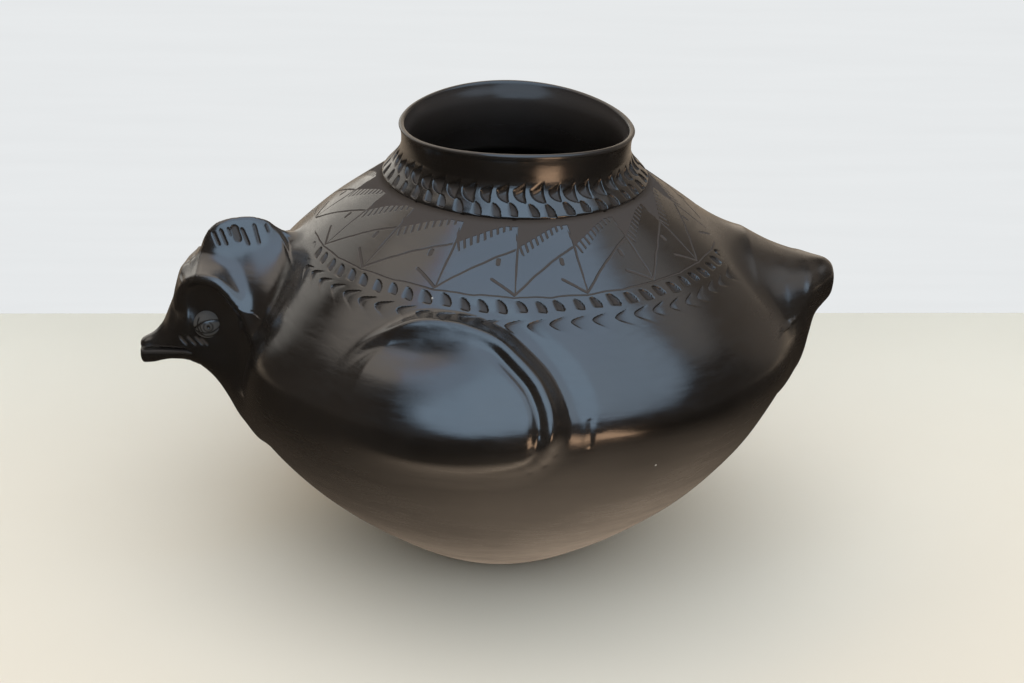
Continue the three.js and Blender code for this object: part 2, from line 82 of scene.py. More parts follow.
def smooth_union(one: Array, other: Array, blend: float) -> Array:
    """Join two distance fields with a fillet.

    Args:
        one: Distance to the first form, negative inside it.
        other: Distance to the second form.
        blend: Width of the fillet in millimetres.

    Returns:
        The distance to the joined form.
    """
    share = np.clip(0.5 + 0.5 * (other - one) / blend, 0, 1)
    return other * (1 - share) + one * share - blend * share * (1 - share)


def carve(form: Array, cutter: Array, blend: float) -> Array:
    """Return the distance to a form with a rounded cut taken out of it."""
    return -smooth_union(-form, cutter, blend)


def bezier(corners: Sequence[tuple[float, float]], count: int) -> Array:
    """Return points along a cubic Bezier curve.

    Args:
        corners: Its four control points.
        count: How many points to give.

    Returns:
        An array with one point on each row.
    """
    along = np.linspace(0, 1, count)[:, None]
    a, b, c, d = (np.array(corner, float) for corner in corners)
    back = 1 - along
    return back**3 * a + 3 * back**2 * along * b + 3 * back * along**2 * c + along**3 * d


def follow(at: Array, places: Array, values: Array) -> Array:
    """Read a table between its rows along a smooth curve that never overshoots.

    Args:
        at: Where to read it.
        places: The rising places of its rows.
        values: The value of each row.

    Returns:
        The value at each place asked for.
    """
    step = np.diff(places)
    slope = np.diff(values) / step
    tangent = np.zeros(len(places))
    inner = slope[:-1] * slope[1:] > 0
    tangent[1:-1][inner] = 2 * (slope[:-1] * slope[1:])[inner] / (slope[:-1] + slope[1:])[inner]
    tangent[0], tangent[-1] = slope[0], slope[-1]
    at = np.clip(at, places[0], places[-1])
    row = np.clip(np.searchsorted(places, at, side="right") - 1, 0, len(step) - 1)
    t = (at - places[row]) / step[row]
    low, high = values[row], values[row + 1]
    leave, arrive = tangent[row] * step[row], tangent[row + 1] * step[row]
    return (
        low * (1 + 2 * t) * (1 - t) ** 2
        + leave * t * (1 - t) ** 2
        + high * t * t * (3 - 2 * t)
        + arrive * t * t * (t - 1)
    )


def from_head(turn: Array) -> Array:
    """Return the angle between each turn and the head, in radians."""
    return np.abs(np.arctan2(np.sin(turn + math.pi / 2), np.cos(turn + math.pi / 2)))


def unit(vectors: Array) -> Array:
    """Return the vectors at length 1."""
    return vectors / np.maximum(np.linalg.norm(vectors, axis=-1, keepdims=True), 1e-9)


def tilted(x: Array, z: Array, angle: float) -> tuple[Array, Array]:
    """Return points along and across a direction that rises from the first axis, in radians."""
    along, across = math.cos(angle), math.sin(angle)
    return x * along + z * across, z * along - x * across


def stroke(x: Array, y: Array, start: tuple[float, float], end: tuple[float, float]) -> Array:
    """Return the distance from each point to a straight stroke.

    Args:
        x: First coordinate of the points.
        y: Second coordinate of the points.
        start: Where the stroke starts.
        end: Where it ends.

    Returns:
        Distances in the unit of the coordinates.
    """
    run = np.subtract(end, start)
    share = np.clip(((x - start[0]) * run[0] + (y - start[1]) * run[1]) / (run @ run), 0, 1)
    return np.hypot(x - start[0] - share * run[0], y - start[1] - share * run[1])


@dataclass(frozen=True)
class Outline:
    """The vessel's upright outline, in millimetres and degrees."""

    base_radius: float = 38
    base_flare: float = 28.4
    base_curl: float = 62.13
    belly_radius: float = 122.3
    belly_height: float = 95
    fullness_below: float = 21.3
    fullness_above: float = 10
    shoulder_radius: float = 84
    shoulder_height: float = 139.6
    shoulder_slope: float = 37.7
    shoulder_sweep: float = 30
    neck_foot: float = 56
    waist_radius: float = 49.6
    waist_rise: float = 12.77
    neck_length: float = 22.8
    collar_relief: float = 0.45
    collar_rounding: float = 1.3
    collar_roll: tuple[tuple[float, float], ...] = ((0.0, 0.1), (0.2, 0.7))
    collar_sweep: tuple[tuple[float, float], ...] = ((-1.4, 4.0), (0.6, 7.0))
    rim_sweep: tuple[tuple[float, float], ...] = ((0.0, 3.0), (0.2, -2.5))
    rim_flare: float = 1
    wall: float = 5.5
    lip: float = 4
    lip_edge: float = 2.8
    inner_drop: float = 6.0
    floor: float = 8

    @property
    def neck_seam(self) -> float:
        """Return the height where the neck sits on the shoulder."""
        run = self.shoulder_radius - self.neck_foot
        return self.shoulder_height + run * math.tan(math.radians(self.shoulder_slope))

    def body(self) -> Array:
        """Return the outside from the base to the foot of the neck, as radius and height."""
        flare, slope = math.radians(self.base_flare), math.radians(self.shoulder_slope)
        widest = (self.belly_radius, self.belly_height)
        curl = (self.base_radius + self.base_curl * math.cos(flare), self.base_curl * math.sin(flare))
        sweep = (
            self.shoulder_radius + self.shoulder_sweep * math.cos(slope),
            self.shoulder_height - self.shoulder_sweep * math.sin(slope),
        )
        shoulder = (self.shoulder_radius, self.shoulder_height)
        below = (widest[0], widest[1] - self.fullness_below)
        above = (widest[0], widest[1] + self.fullness_above)
        low = bezier([(self.base_radius, 0), curl, below, widest], CURVE_POINTS)
        high = bezier([widest, above, sweep, shoulder], CURVE_POINTS)
        straight = np.linspace(shoulder, (self.neck_foot, self.neck_seam), STRAIGHT_POINTS)
        return np.vstack([low, high[1:], straight[1:]])

    def neck(self) -> Array:
        """Return the outside of the neck from its foot to just under the lip."""
        seam, foot = self.neck_seam, self.neck_foot
        waist = (self.waist_radius, seam + self.waist_rise)
        top = (waist[0] + self.rim_flare, seam + self.neck_length - self.lip / 2)
        over = (foot + self.collar_relief / 2, seam + self.collar_rounding)
        bulge = [(foot + self.collar_relief + out, seam + up) for out, up in self.collar_roll]
        roll = bezier([(foot, seam), *bulge, over], 16)
        sweep = [(start + out, seam + up) for start, (out, up) in zip((foot, waist[0]), self.collar_sweep)]
        drawn_in = bezier([over, *sweep, waist], 30)
        flare = [(waist[0] + out, z + up) for z, (out, up) in zip((waist[1], top[1]), self.rim_sweep)]
        rim = bezier([waist, *flare, top], 16)
        return np.vstack([roll, drawn_in[1:], rim[1:]])

    def inside(self, points: Array) -> Array:
        """Return an outline moved inwards by the wall's thickness."""
        along = unit(np.gradient(points, axis=0))
        inward = np.column_stack([-along[:, 1], along[:, 0]])
        return points + inward * self.wall


def between(points: Array, low: float, high: float, step: float) -> Array:
    """Return the stretch of an outline between two heights in even steps.

    Args:
        points: The outline, rising.
        low: Its lowest height.
        high: Its highest height.
        step: The length of a step.

    Returns:
        Radius and height of each point.
    """
    ends = [[np.interp(z, points[:, 1], points[:, 0]), z] for z in (low, high)]
    kept = points[(points[:, 1] > low + 1e-6) & (points[:, 1] < high - 1e-6)]
    line = np.vstack([ends[:1], kept, ends[1:]])
    length = np.concatenate([[0], np.cumsum(np.linalg.norm(np.diff(line, axis=0), axis=1))])
    at = np.linspace(0, length[-1], max(2, round(length[-1] / step) + 1))
    return np.column_stack([np.interp(at, length, line[:, 0]), np.interp(at, length, line[:, 1])])


@dataclass(frozen=True)
class HandShape:
    """How the potter's hands moved the turned form: pressed, leaned and squeezed."""

    press_depth: float = 20
    press_spread: float = 23
    press_low: float = 58
    press_high: float = 146
    lean: float = 3.4
    lean_start: float = 70
    lean_full: float = 136
    ovality: float = 0.045
    oval_start: float = 136
    oval_full: float = 184.44

    def press(self, turn: Array, z: Array) -> Array:
        """Return how deep the wall is pressed in round the head, at each turn and height."""
        level = np.clip((z - self.press_low) / (self.press_high - self.press_low), 0, 1)
        round_it = hump(np.degrees(from_head(turn)), 0, self.press_spread)
        return self.press_depth * round_it * np.sin(math.pi * level) ** 2

    def moved(self, z: Array) -> tuple[Array, Array]:
        """Return how far the form is squeezed and how far it leans, at each height."""
        squeeze = self.ovality * smoothstep(self.oval_start, self.oval_full, z)
        return squeeze, self.lean * smoothstep(self.lean_start, self.lean_full, z)

    def shaped(self, turn: Array, radius: Array, z: Array) -> Array:
        """Return the place of points of the turned form.

        Args:
            turn: Angle round the axis from -Y towards +X, in radians.
            radius: Distance from the axis.
            z: Height.

        Returns:
            One x, y, z row for each point.
        """
        radius = radius - np.where(radius > self.press_depth, self.press(turn, z), 0)
        squeeze, lean = self.moved(z)
        x = radius * np.sin(turn) * (1 - squeeze) + lean
        return np.stack([x, -radius * np.cos(turn) * (1 + squeeze), z], axis=-1)

    def undone(self, x: Array, y: Array, z: Array) -> tuple[Array, Array]:
        """Return the turn and radius that shaped points had on the turned form."""
        squeeze, lean = self.moved(z)
        x = (x - lean) / (1 - squeeze)
        y = y / (1 + squeeze)
        turn = np.arctan2(x, -y)
        return turn, np.hypot(x, y) + self.press(turn, z)


class MarkStyle(Enum):
    """The tool marks of the carved bands."""

    THUMB = "thumb"
    SHELL = "shell"
    FLAME = "flame"


@dataclass(frozen=True)
class MarkRow:
    """A row of tool marks round the vessel, its sizes in millimetres and degrees."""

    style: MarkStyle
    count: int
    low: float
    high: float
    width: float
    depth: float
    lean: float
    phase: float = 0
    wall: float = 0.55
    seed: int = 3
    margin: float = 3

    def press(self, turn: Array, run: Array, radius: Array) -> Array:
        """Return how deep the marks go, from 0 to their depth.

        Args:
            turn: Angle round the axis, in radians.
            run: Length along the outline above the widest ring.
            radius: Distance from the axis.

        Returns:
            The depth at each point.
        """
        dice = np.random.default_rng(self.seed)
        size = dice.uniform(0.88, 1.12, self.count)
        tilt = np.radians(self.lean + dice.uniform(-6, 6, self.count))
        shift = dice.uniform(-0.5, 0.5, (2, self.count))
        force = self.depth * dice.uniform(0.8, 1.15, self.count)
        pitch = 2 * math.pi / self.count
        middle, half = (self.low + self.high) / 2, (self.high - self.low) / 2
        forms = {MarkStyle.THUMB: self.thumb, MarkStyle.SHELL: self.shell, MarkStyle.FLAME: self.flame}
        cell = np.floor(turn / pitch + self.phase)
        deepest = np.zeros(np.broadcast(turn, run).shape)
        for step in (-1, 0, 1):
            place = (cell + step + 0.5 - self.phase) * pitch
            mark = (cell + step).astype(int) % self.count
            across = (turn - place) * radius + shift[0][mark]
            upward = run - middle + shift[1][mark]
            turned_across = across * np.cos(tilt[mark]) + upward * np.sin(tilt[mark])
            turned_upward = upward * np.cos(tilt[mark]) - across * np.sin(tilt[mark])
            cut = forms[self.style](turned_across / size[mark], turned_upward / size[mark], half)
            deepest = np.maximum(deepest, cut * force[mark])
        return deepest

    def thumb(self, across: Array, upward: Array, half: float) -> Array:
        """Return a cut like a quarter of an egg, sloping in from its left to a bowed wall at its right."""
        left, low = across + self.width / 2, upward + half
        bow = np.hypot(np.maximum(left, 0) / self.width, np.maximum(low, 0) / (2 * half))
        wall = smoothstep(1.05, 1.05 - self.wall / self.width, bow)
        floor = 0.1 + 0.9 * np.clip(bow, 0, 1) ** 1.6
        return wall * floor * smoothstep(-0.2, 0.6 * self.width, left) * smoothstep(-0.3, 0.9, low)

    def shell(self, across: Array, upward: Array, half: float) -> Array:
        """Return a cut like a beak: a wall bowed to its left, with a long upper arm and a rising floor."""
        past = across + self.width / 2
        share = past / self.width
        round_tip = 1 - np.exp(-np.maximum(past, 0) / 0.8)
        rise = upward - 0.1 * half
        top = 0.2 * past + round_tip - rise
        bottom = rise + 0.75 * past + round_tip
        floor = np.exp(-np.maximum(past, 0) / (0.24 * self.width))
        arm = 0.75 * np.exp(-np.maximum(top, 0) / 0.5) * smoothstep(1.05, 0.5, share)
        inside = smoothstep(-0.12, self.wall, top) * smoothstep(-0.25, 0.9, bottom)
        return np.minimum(floor + arm, 1) * inside * smoothstep(-0.3, 0.35, past)

    def flame(self, across: Array, upward: Array, half: float) -> Array:
        """Return a cut that opens upwards from a point, so that flame-like ridges stand between the cuts."""
        share = (upward + half) / (2 * half)
        wide = 0.5 * self.width * np.clip(share, 0, 1.2) ** 0.65
        middle = across + 1.1 * np.sin(2.6 * share)
        inside = smoothstep(0, self.wall, wide - np.abs(middle))
        return inside * (0.35 + 0.65 * np.clip(share, 0, 1)) * smoothstep(1.3, 0.75, share)


@dataclass(frozen=True)
class Wing:
    """A raised pad on the flank with a rounded rim, laid out by turn and run."""

    outline: tuple[tuple[float, float], ...] = (
        (-45.7, -15), (-44.4, 1.3), (-43.4, 14), (-41.2, 25.1), (-37.8, 35.6), (-32.2, 43.4),
        (-25.4, 48.1), (-19.6, 49.2), (-14.2, 48.1), (-6.9, 43.4), (-1.7, 35.3), (2.4, 26.3),
        (4.6, 17.6), (5.6, 10.6), (5.9, 2.3), (5.2, -8.2), (1, -17.4), (-8, -22.5), (-20, -24),
        (-32, -23.5), (-41, -20.5),
    )
    relief: float = 4.4
    rim: float = 1.1
    groove: float = 1.3
    hollow: float = 2.9
    facet: float = 1.5
    trough: float = 1.275
    radius: float = 122.3
    sink: float = 0.35
    # The stretch along and up the belly that the wing's relief can touch
    reach: tuple[float, float, float, float] = (-118, 34, -45, 62)
    # Both ends of each crease, and its depth
    creases: tuple[tuple[float, float, float, float, float], ...] = (
        (0.5, -1.5, 6.5, -9.5, 0.3), (3.5, 4, 10, -4.5, 0.25), (-4, -6, 1, -13, 0.2),
        (23.4, 7.6, 23.7, -2.5, 0.22),
    )

    def closed(self) -> Array:
        """Return the outline as a smooth closed line, in millimetres along and up the belly."""
        corners = np.array(self.outline) * (math.radians(self.radius), 1)
        points = []
        for i in range(len(corners)):
            a, b, c, d = (corners[(i + k) % len(corners)] for k in (-1, 0, 1, 2))
            for t in np.linspace(0, 1, 6, endpoint=False):
                points.append(0.5 * (2 * b + (c - a) * t + (2 * a - 5 * b + 4 * c - d) * t * t
                                     + (3 * b - 3 * c + d - a) * t**3))
        return np.array(points)

    def edge(self, along: Array, run: Array) -> Array:
        """Return how far inside the outline each point is, negative outside it."""
        line = self.closed()
        nearest = np.full(np.broadcast(along, run).shape, 1e9)
        crossings = np.zeros(nearest.shape, int)
        for (ax, ay), (bx, by) in zip(line, np.roll(line, -1, axis=0)):
            nearest = np.minimum(nearest, stroke(along, run, (ax, ay), (bx, by)))
            spans = (ay > run) != (by > run)
            if ay != by:
                crossings += spans & (along < (bx - ax) * (run - ay) / (by - ay) + ax)
        return np.where(crossings % 2 == 1, nearest, -nearest)

    def flank(self, turn: Array) -> Array:
        """Return turns mirrored onto the left flank, where the outline is laid out."""
        turn = np.arctan2(np.sin(turn), np.cos(turn))
        return np.where(np.abs(turn) > math.pi / 2, np.sign(turn) * math.pi - turn, turn)

    def lift(self, turn: Array, run: Array) -> tuple[Array, Array]:
        """Return the wing's height over the belly, and how far inside its outline each point is."""
        along = self.flank(turn) * self.radius
        left, right, low, high = self.reach
        near = (run > low) & (run < high) & (along > left) & (along < right)
        height, edge = np.zeros(near.shape), np.full(near.shape, -50.0)
        if near.any():
            edge[near] = self.edge(along[near], run[near])
            height[near] = self.form(along[near], run[near], edge[near])
        return height, edge

    def form(self, along: Array, run: Array, edge: Array) -> Array:
        """Return the relief from the place and from how far inside the outline it is."""
        crisp = smoothstep(-16, 6, run) * smoothstep(-92, -52, along + 0.3 * (run - 30))
        tip = smoothstep(-30, -8, along)
        slope = 5.6 + 22 * (1 - crisp)
        pad = self.relief * smoothstep(-3.6, slope, edge) * smoothstep(-106, -52, along)
        rim = self.rim * crisp * hump(edge, 5.4, 2.8)
        groove = self.groove * crisp * tip * hump(edge, 10.2, 2.1)
        hollow = self.hollow * hump(along, -55, 22) * hump(run, 31.5, 8.5) * smoothstep(4, 12, edge)
        facet = self.facet * hump(run, -5, 15) * hump(along, -34, 26) * smoothstep(4, 18, edge)
        trough = self.trough * crisp * smoothstep(-50, -16, along) * hump(edge, -6.0, 4.0 + 2.6 * tip)
        return pad + rim - groove - hollow + facet - trough - self.wrinkle(along, run)

    def wrinkle(self, along: Array, run: Array) -> Array:
        """Return the depth of the small creases at the wing's tip and behind it."""
        depth = np.zeros(along.shape)
        for a, b, c, d, deep in self.creases:
            depth = np.maximum(depth, deep * hump(stroke(along, run, (a, b), (c, d)), 0, 1.2))
        return depth


@dataclass(frozen=True)
class Unevenness:
    """The slow waves that hand smoothing leaves in the surface, in millimetres."""

    swing: float = 0.16
    waves: int = 9
    lengths: tuple[float, float] = (26, 70)
    usual: float = 50
    flatness: float = 1.9
    start: float = 6.28
    seed: int = 11

    def lift(self, place: Array) -> Array:
        """Return how far the surface swells at each x, y, z place."""
        dice = np.random.default_rng(self.seed)
        total = np.zeros(place.shape[:-1])
        height = self.swing / math.sqrt(self.waves / 3)
        for _ in range(self.waves):
            way = unit(dice.normal(size=3) * (1, 1, self.flatness))
            length = dice.uniform(*self.lengths)
            phase = place @ (way * 2 * math.pi / length) + dice.uniform(0, self.start)
            total += height * (length / self.usual) * np.sin(phase)
        return total


@dataclass
class Vessel:
    """The turned body with everything that is pressed, carved or raised on it."""

    outline: Outline = field(default_factory=Outline)
    shape: HandShape = field(default_factory=HandShape)
    wing: Wing = field(default_factory=Wing)
    unevenness: Unevenness = field(default_factory=Unevenness)
    settling: float = 0.3
    level_foot: float = 12
    matt_depth: float = 0.55
    most_matt: float = 0.85
    # The carved bands fade out between these angles from the head, in radians
    head_gap: tuple[float, float] = (0.03, 0.12)
    table_size: tuple[int, int] = (190, 215)
    table_drop: int = 20

    def __post_init__(self) -> None:
        """Lay out the outside line and the lengths along it."""
        body, neck = self.outline.body(), self.outline.neck()
        self.line = np.vstack([body, neck[1:]])
        steps = np.linalg.norm(np.diff(self.line, axis=0), axis=1)
        lengths = np.concatenate([[0], np.cumsum(steps)])
        self.length = lengths - lengths[WIDEST]
        self.normal = unit(np.column_stack([np.gradient(self.line[:, 1]), -np.gradient(self.line[:, 0])]))
        run = self.run_of_radius
        self.rows = (
            MarkRow(MarkStyle.SHELL, 67, run(96.2), run(90.6), 7.8, 1.1, 4, phase=0.3, seed=5),
            MarkRow(MarkStyle.THUMB, 74, run(89.3), run(85.3), 4.9, 1.25, -2, phase=0.05, seed=6),
        )
        seam = self.length[len(body) - 1]
        self.neck_rows = (
            MarkRow(MarkStyle.THUMB, 45, seam + 1.3, seam + 6.7, 4.6, 1.4, -2, phase=0.2, seed=7),
            MarkRow(MarkStyle.FLAME, 45, seam + 6.2, seam + 12.0, 6.4, 1.6, 26, phase=0.62, wall=1.3, seed=8),
        )

    def run_of_radius(self, radius: float) -> float:
        """Return the length along the outline above the widest ring where the radius is given."""
        above = slice(WIDEST, WIDEST + CURVE_POINTS + STRAIGHT_POINTS - 2)
        return float(np.interp(-radius, -self.line[above, 0], self.length[above]))

    def spot(self, run: Array) -> tuple[Array, Array, Array, Array]:
        """Return radius, height and the outward direction at lengths along the outline."""
        table = (self.line[:, 0], self.line[:, 1], self.normal[:, 0], self.normal[:, 1])
        return tuple(np.interp(run, self.length, column) for column in table)

    def plain(self, turn: Array, run: Array, lift: Array) -> Array:
        """Return places on the outside, raised by a lift along the outline's normal."""
        radius, z, out, up = self.spot(run)
        return self.shape.shaped(turn, radius + out * lift, z + up * lift)

    def skin(self, turn: Array, run: Array) -> tuple[Array, Array, Array]:
        """Describe the worked surface.

        Args:
            turn: Angle round the axis, in radians.
            run: Length along the outline above the widest ring.

        Returns:
            The lift off the plain outline, how carved the surface is from 0 to 1, and how far
            inside a wing's outline each point is.
        """
        radius = np.interp(run, self.length, self.line[:, 0])
        height, edge = self.wing.lift(turn, run)
        clear = smoothstep(*self.head_gap, from_head(turn))
        depth = np.zeros(height.shape)
        rows = [(row, clear) for row in self.rows] + [(row, 1.0) for row in self.neck_rows]
        for row, share in rows:
            near = (run > row.low - row.margin) & (run < row.high + row.margin)
            if near.any():
                cut = row.press(turn[near], run[near], radius[near])
                depth[near] = np.maximum(depth[near], cut * np.broadcast_to(share, depth.shape)[near])
        swell = self.unevenness.lift(self.plain(turn, run, np.zeros(height.shape)))
        fade = smoothstep(0, self.level_foot, np.interp(run, self.length, self.line[:, 1]))
        band_top = self.neck_rows[-1].high
        rubbed = smoothstep(band_top + 1.5, band_top - 2.5, run)
        matt = self.most_matt * np.clip(depth / self.matt_depth, 0, 1) * rubbed
        return height + (swell - self.settling) * fade - depth, matt, edge

    def normals(self, turn: Array, run: Array) -> Array:
        """Return the worked surface's normals from small steps round and up it."""
        small = 0.05
        radius = np.interp(run, self.length, self.line[:, 0])
        turn_step = small / np.maximum(radius, 5)
        pair = []
        for moved_turn, moved_run in ((turn_step, 0), (0, small)):
            ends = []
            for sign in (-1, 1):
                at_turn, at_run = turn + sign * moved_turn, run + sign * moved_run
                ends.append(self.plain(at_turn, at_run, self.skin(at_turn, at_run)[0]))
            pair.append(ends[1] - ends[0])
        return unit(np.cross(pair[0], pair[1]))

    @cached_property
    def table(self) -> Array:
        """Return distances to the outline, negative in it, at each millimetre of radius and height."""
        wide, tall = self.table_size
        r, h = np.meshgrid(np.arange(0.0, wide), np.arange(-self.table_drop, float(tall)), indexing="ij")
        nearest = np.full(r.shape, 1e9)
        line = self.line[::3]
        for start, end in zip(line, line[1:]):
            nearest = np.minimum(nearest, stroke(r, h, tuple(start), tuple(end)))
        inside = (r < np.interp(h, self.line[:, 1], self.line[:, 0])) & (h > 0) & (h < self.line[-1, 1])
        return np.where(inside, -nearest, nearest)

    def distance(self, x: Array, y: Array, z: Array) -> Array:
        """Return the distance to the body's outside, negative in it, at points on a grid."""
        turn, radius = self.shape.undone(x, y, z)
        wide, tall = self.table_size
        r = np.clip(radius, 0, wide - 1.1)
        h = np.clip(z + self.table_drop + 0 * radius, 0, tall + self.table_drop - 1.1)
        i, j = r.astype(int), h.astype(int)
        u, v = r - i, h - j
        near, far = self.table[i, j] * (1 - u), self.table[i + 1, j] * u
        near_up, far_up = self.table[i, j + 1] * (1 - u), self.table[i + 1, j + 1] * u
        plain = (near + far) * (1 - v) + (near_up + far_up) * v
        swell = self.unevenness.lift(np.stack(np.broadcast_arrays(x, y, z), axis=-1))
        return plain - (swell - self.settling) * smoothstep(0, self.level_foot, z)


@dataclass(frozen=True)
class Ring:
    """One coiled ring of the wall: the node it stands for and how finely it is laid out."""

    node: str
    low: float
    high: float
    columns: int
    step: float


@dataclass
class Wall:
    """The base bowl, the belly's three rings, the shoulder and the neck."""

    vessel: Vessel
    bowl_seam: float = 42
    belly_seam: float = 68
    shoulder_seam: float = 128
    band_top: float = 142
    neck_worked: float = 16.5
    rim_dip: float = 1.8
    inside_matt: float = 0.9
    throat_matt: float = 0.7
    # Blender's own normals are kept from this share of the neck up, and below this height
    plain_neck: float = 0.55
    plain_foot: float = 6
    units: int = 17
    apexes: tuple[float, ...] = (-92.2, -71, -50, -26, -4.3, 15.4)

    def rings(self) -> list[Ring]:
        """Return the rings from the bottom up."""
        widest = self.vessel.outline.belly_height
        return [
            Ring("base_bowl", 0, self.bowl_seam, 360, 1.6),
            Ring("lower_belly", self.bowl_seam, self.belly_seam, 540, 1.3),
            Ring("middle_belly", self.belly_seam, widest, 720, 1.1),
            Ring("upper_belly", widest, self.shoulder_seam, 800, 0.95),
            Ring("shoulder", self.shoulder_seam, self.vessel.outline.neck_seam, 1360, 0.42),
            Ring("neck", self.vessel.outline.neck_seam, 0, 900, 0.4),
        ]

    def profile(self, ring: Ring) -> tuple[Array, Array]:
        """Return a ring's closed profile, and 1 for each of its points on the worked outside."""
        outline = self.vessel.outline
        line, body = self.vessel.line, outline.body()
        hollow = outline.inside(np.vstack([body, body[-1] + (body[-1] - body[-2]) * 40]))
        if ring.node == "neck":
            return self.neck_profile(ring, hollow)
        if ring.node == "shoulder":
            fine = between(line, ring.low, self.band_top, ring.step)
            outside = np.vstack([fine, between(line, self.band_top, ring.high, 3.0)[1:]])
        else:
            outside = between(line, ring.low, ring.high, ring.step)
        low = max(ring.low, outline.floor)
        inner = between(hollow, low, ring.high, 6.0)[::-1]
        if ring.low > 0:
            flags = np.concatenate([np.ones(len(outside)), np.zeros(len(inner))])
            return np.vstack([outside, inner]), flags
        foot = outside[0, 0]
        under = [(0, 0), (foot - 1.2, 0), (foot - 0.4, 0.15)]
        flags = np.concatenate([np.zeros(3), np.ones(len(outside) - 1), np.zeros(len(inner) + 1)])
        return np.vstack([under, outside[1:], inner, [(0, outline.floor)]]), flags

    def neck_profile(self, ring: Ring, hollow: Array) -> tuple[Array, Array]:
        """Return the neck's profile, with the rounded lip and the inside down to the seam."""
        outline = self.vessel.outline
        seam, top = outline.neck_seam, outline.neck_seam + outline.neck_length
        line = self.vessel.line
        plain = seam + self.neck_worked
        fine = between(line, seam, plain, ring.step)
        upper = between(line, plain, line[-1, 1], 1.0)[1:]
        rim, half = outline.waist_radius + outline.rim_flare, outline.lip_edge / 2
        angles = np.linspace(0, math.pi, 9)[1:]
        lip = np.column_stack([rim - half + half * np.cos(angles), top - half + half * np.sin(angles)])
        foot = (float(np.interp(seam, hollow[:, 1], hollow[:, 0])), seam)
        waist = (outline.waist_radius - outline.lip, seam + outline.waist_rise)
        throat = bezier([tuple(lip[-1]), (waist[0] - 0.2, top - 6), (waist[0], waist[1] + 3), waist], 8)[1:]
        ending = (waist[0] + 0.8, seam - outline.inner_drop)
        inner = bezier([waist, (waist[0], waist[1] - 4), (waist[0] + 0.4, seam + 4), ending], 12)[1:]
        outside = np.vstack([fine, upper])
        flags = np.concatenate([np.ones(len(outside)), np.zeros(len(lip) + len(throat) + len(inner) + 1)])
        return np.vstack([outside, lip, throat, inner, [foot]]), flags

    def build(self, ring: Ring, dress: Callable[[bpy.types.Object], None]) -> bpy.types.Object:
        """Turn a ring's profile, work its outside and ride it on the pot.

        Args:
            ring: The ring to make.
            dress: Gives the finished piece its material.

        Returns:
            The finished piece.
        """
        points, flags = self.profile(ring)
        piece = self.turned(ring, points, flags)
        self.work(piece, ring)
        dress(piece)
        return piece

    def turned(self, ring: Ring, points: Array, flags: Array) -> bpy.types.Object:
        """Spin a closed profile into a ring that carries a flag for its outside."""
        closed = ring.node != "base_bowl"
        count = len(points)
        edges = [(i, i + 1) for i in range(count - 1)] + ([(count - 1, 0)] if closed else [])
        places = [(r * MM, 0, z * MM) for r, z in points]
        piece = new_piece(ring.node + "_worked", places, edges, [])
        outside = piece.data.attributes.new("outside", "FLOAT", "POINT")
        outside.data.foreach_set("value", flags.astype(np.float32))
        choose(piece)
        wheel = piece.modifiers.new("wheel", "SCREW")
        wheel.steps = wheel.render_steps = ring.columns
        wheel.use_merge_vertices, wheel.merge_threshold = True, 2e-5
        bpy.ops.object.modifier_apply(modifier=wheel.name)
        face_out(piece)
        return piece

    def work(self, piece: bpy.types.Object, ring: Ring) -> None:
        """Move a turned ring's points to the worked and hand-shaped surface."""
        vessel, mesh = self.vessel, piece.data
        place = read_places(mesh)
        outside = fetch(mesh.attributes["outside"].data, "value", np.float32) > 0.5
        turn = np.arctan2(place[:, 0], -place[:, 1])
        radius, z = np.hypot(place[:, 0], place[:, 1]), place[:, 2]
        run = np.interp(z, vessel.line[:, 1], vessel.length)
        carved = np.where(outside, 0.0, self.inside_matt)
        moved = vessel.shape.shaped(turn, radius, z)
        lift, marks, edge = vessel.skin(turn[outside], run[outside])
        sunk = vessel.wing.sink * smoothstep(0.2, 3, edge)
        moved[outside] = vessel.plain(turn[outside], run[outside], lift - sunk)
        carved[outside] = marks
        normals = np.zeros(place.shape)
        normals[outside] = vessel.normals(turn[outside], run[outside])
        if ring.node == "neck":
            seam, length = vessel.outline.neck_seam, vessel.outline.neck_length
            share = np.clip((z - seam) / length, 0, 1)
            moved[:, 2] -= self.rim_dip * np.cos(2 * turn + math.pi) * share**2
            waist = vessel.outline.waist_radius
            lip = smoothstep(0.93, 0.99, share) * smoothstep(waist - 2.6, waist - 1, radius)
            throat = self.throat_matt * smoothstep(-0.3, 0.9, share) * (1 - 0.6 * lip)
            carved = np.where(outside, carved, throat)
            normals[share > self.plain_neck] = 0
        if ring.node == "base_bowl":
            normals[z < self.plain_foot] = 0
        write_places(mesh, moved)
        settle(piece, normals, carved)
        if ring.node == "shoulder":
            self.lay_out(mesh, turn, radius)
        mesh.attributes.remove(mesh.attributes["outside"])

    def lay_out(self, mesh: bpy.types.Mesh, turn: Array, radius: Array) -> None:
        """Write the shoulder's UV map: units of the triangle frieze round it, and radius up it."""
        apexes = np.array(self.apexes)
        seen = len(apexes) - 1
        share = np.degrees(turn)
        unit_angle = (360 - (apexes[-1] - apexes[0])) / (self.units - seen)
        after = np.where(share < apexes[0], share + 360, share)
        even = seen + (after - apexes[-1]) / unit_angle
        count = np.where(after <= apexes[-1], np.interp(after, apexes, np.arange(len(apexes))), even)
        corner = fetch(mesh.loops, "vertex_index", np.int32)
        across = count[corner]
        face = np.repeat(np.arange(len(mesh.polygons)), fetch(mesh.polygons, "loop_total", np.int32))
        highest = np.zeros(len(mesh.polygons))
        np.maximum.at(highest, face, across)
        across = np.where(highest[face] - across > self.units / 2, across + self.units, across)
        layer = mesh.uv_layers.new(name="frieze")
        places = np.column_stack([across / UV_UNITS, radius[corner] / UV_RADIUS])
        layer.data.foreach_set("uv", places.ravel().astype(np.float32))


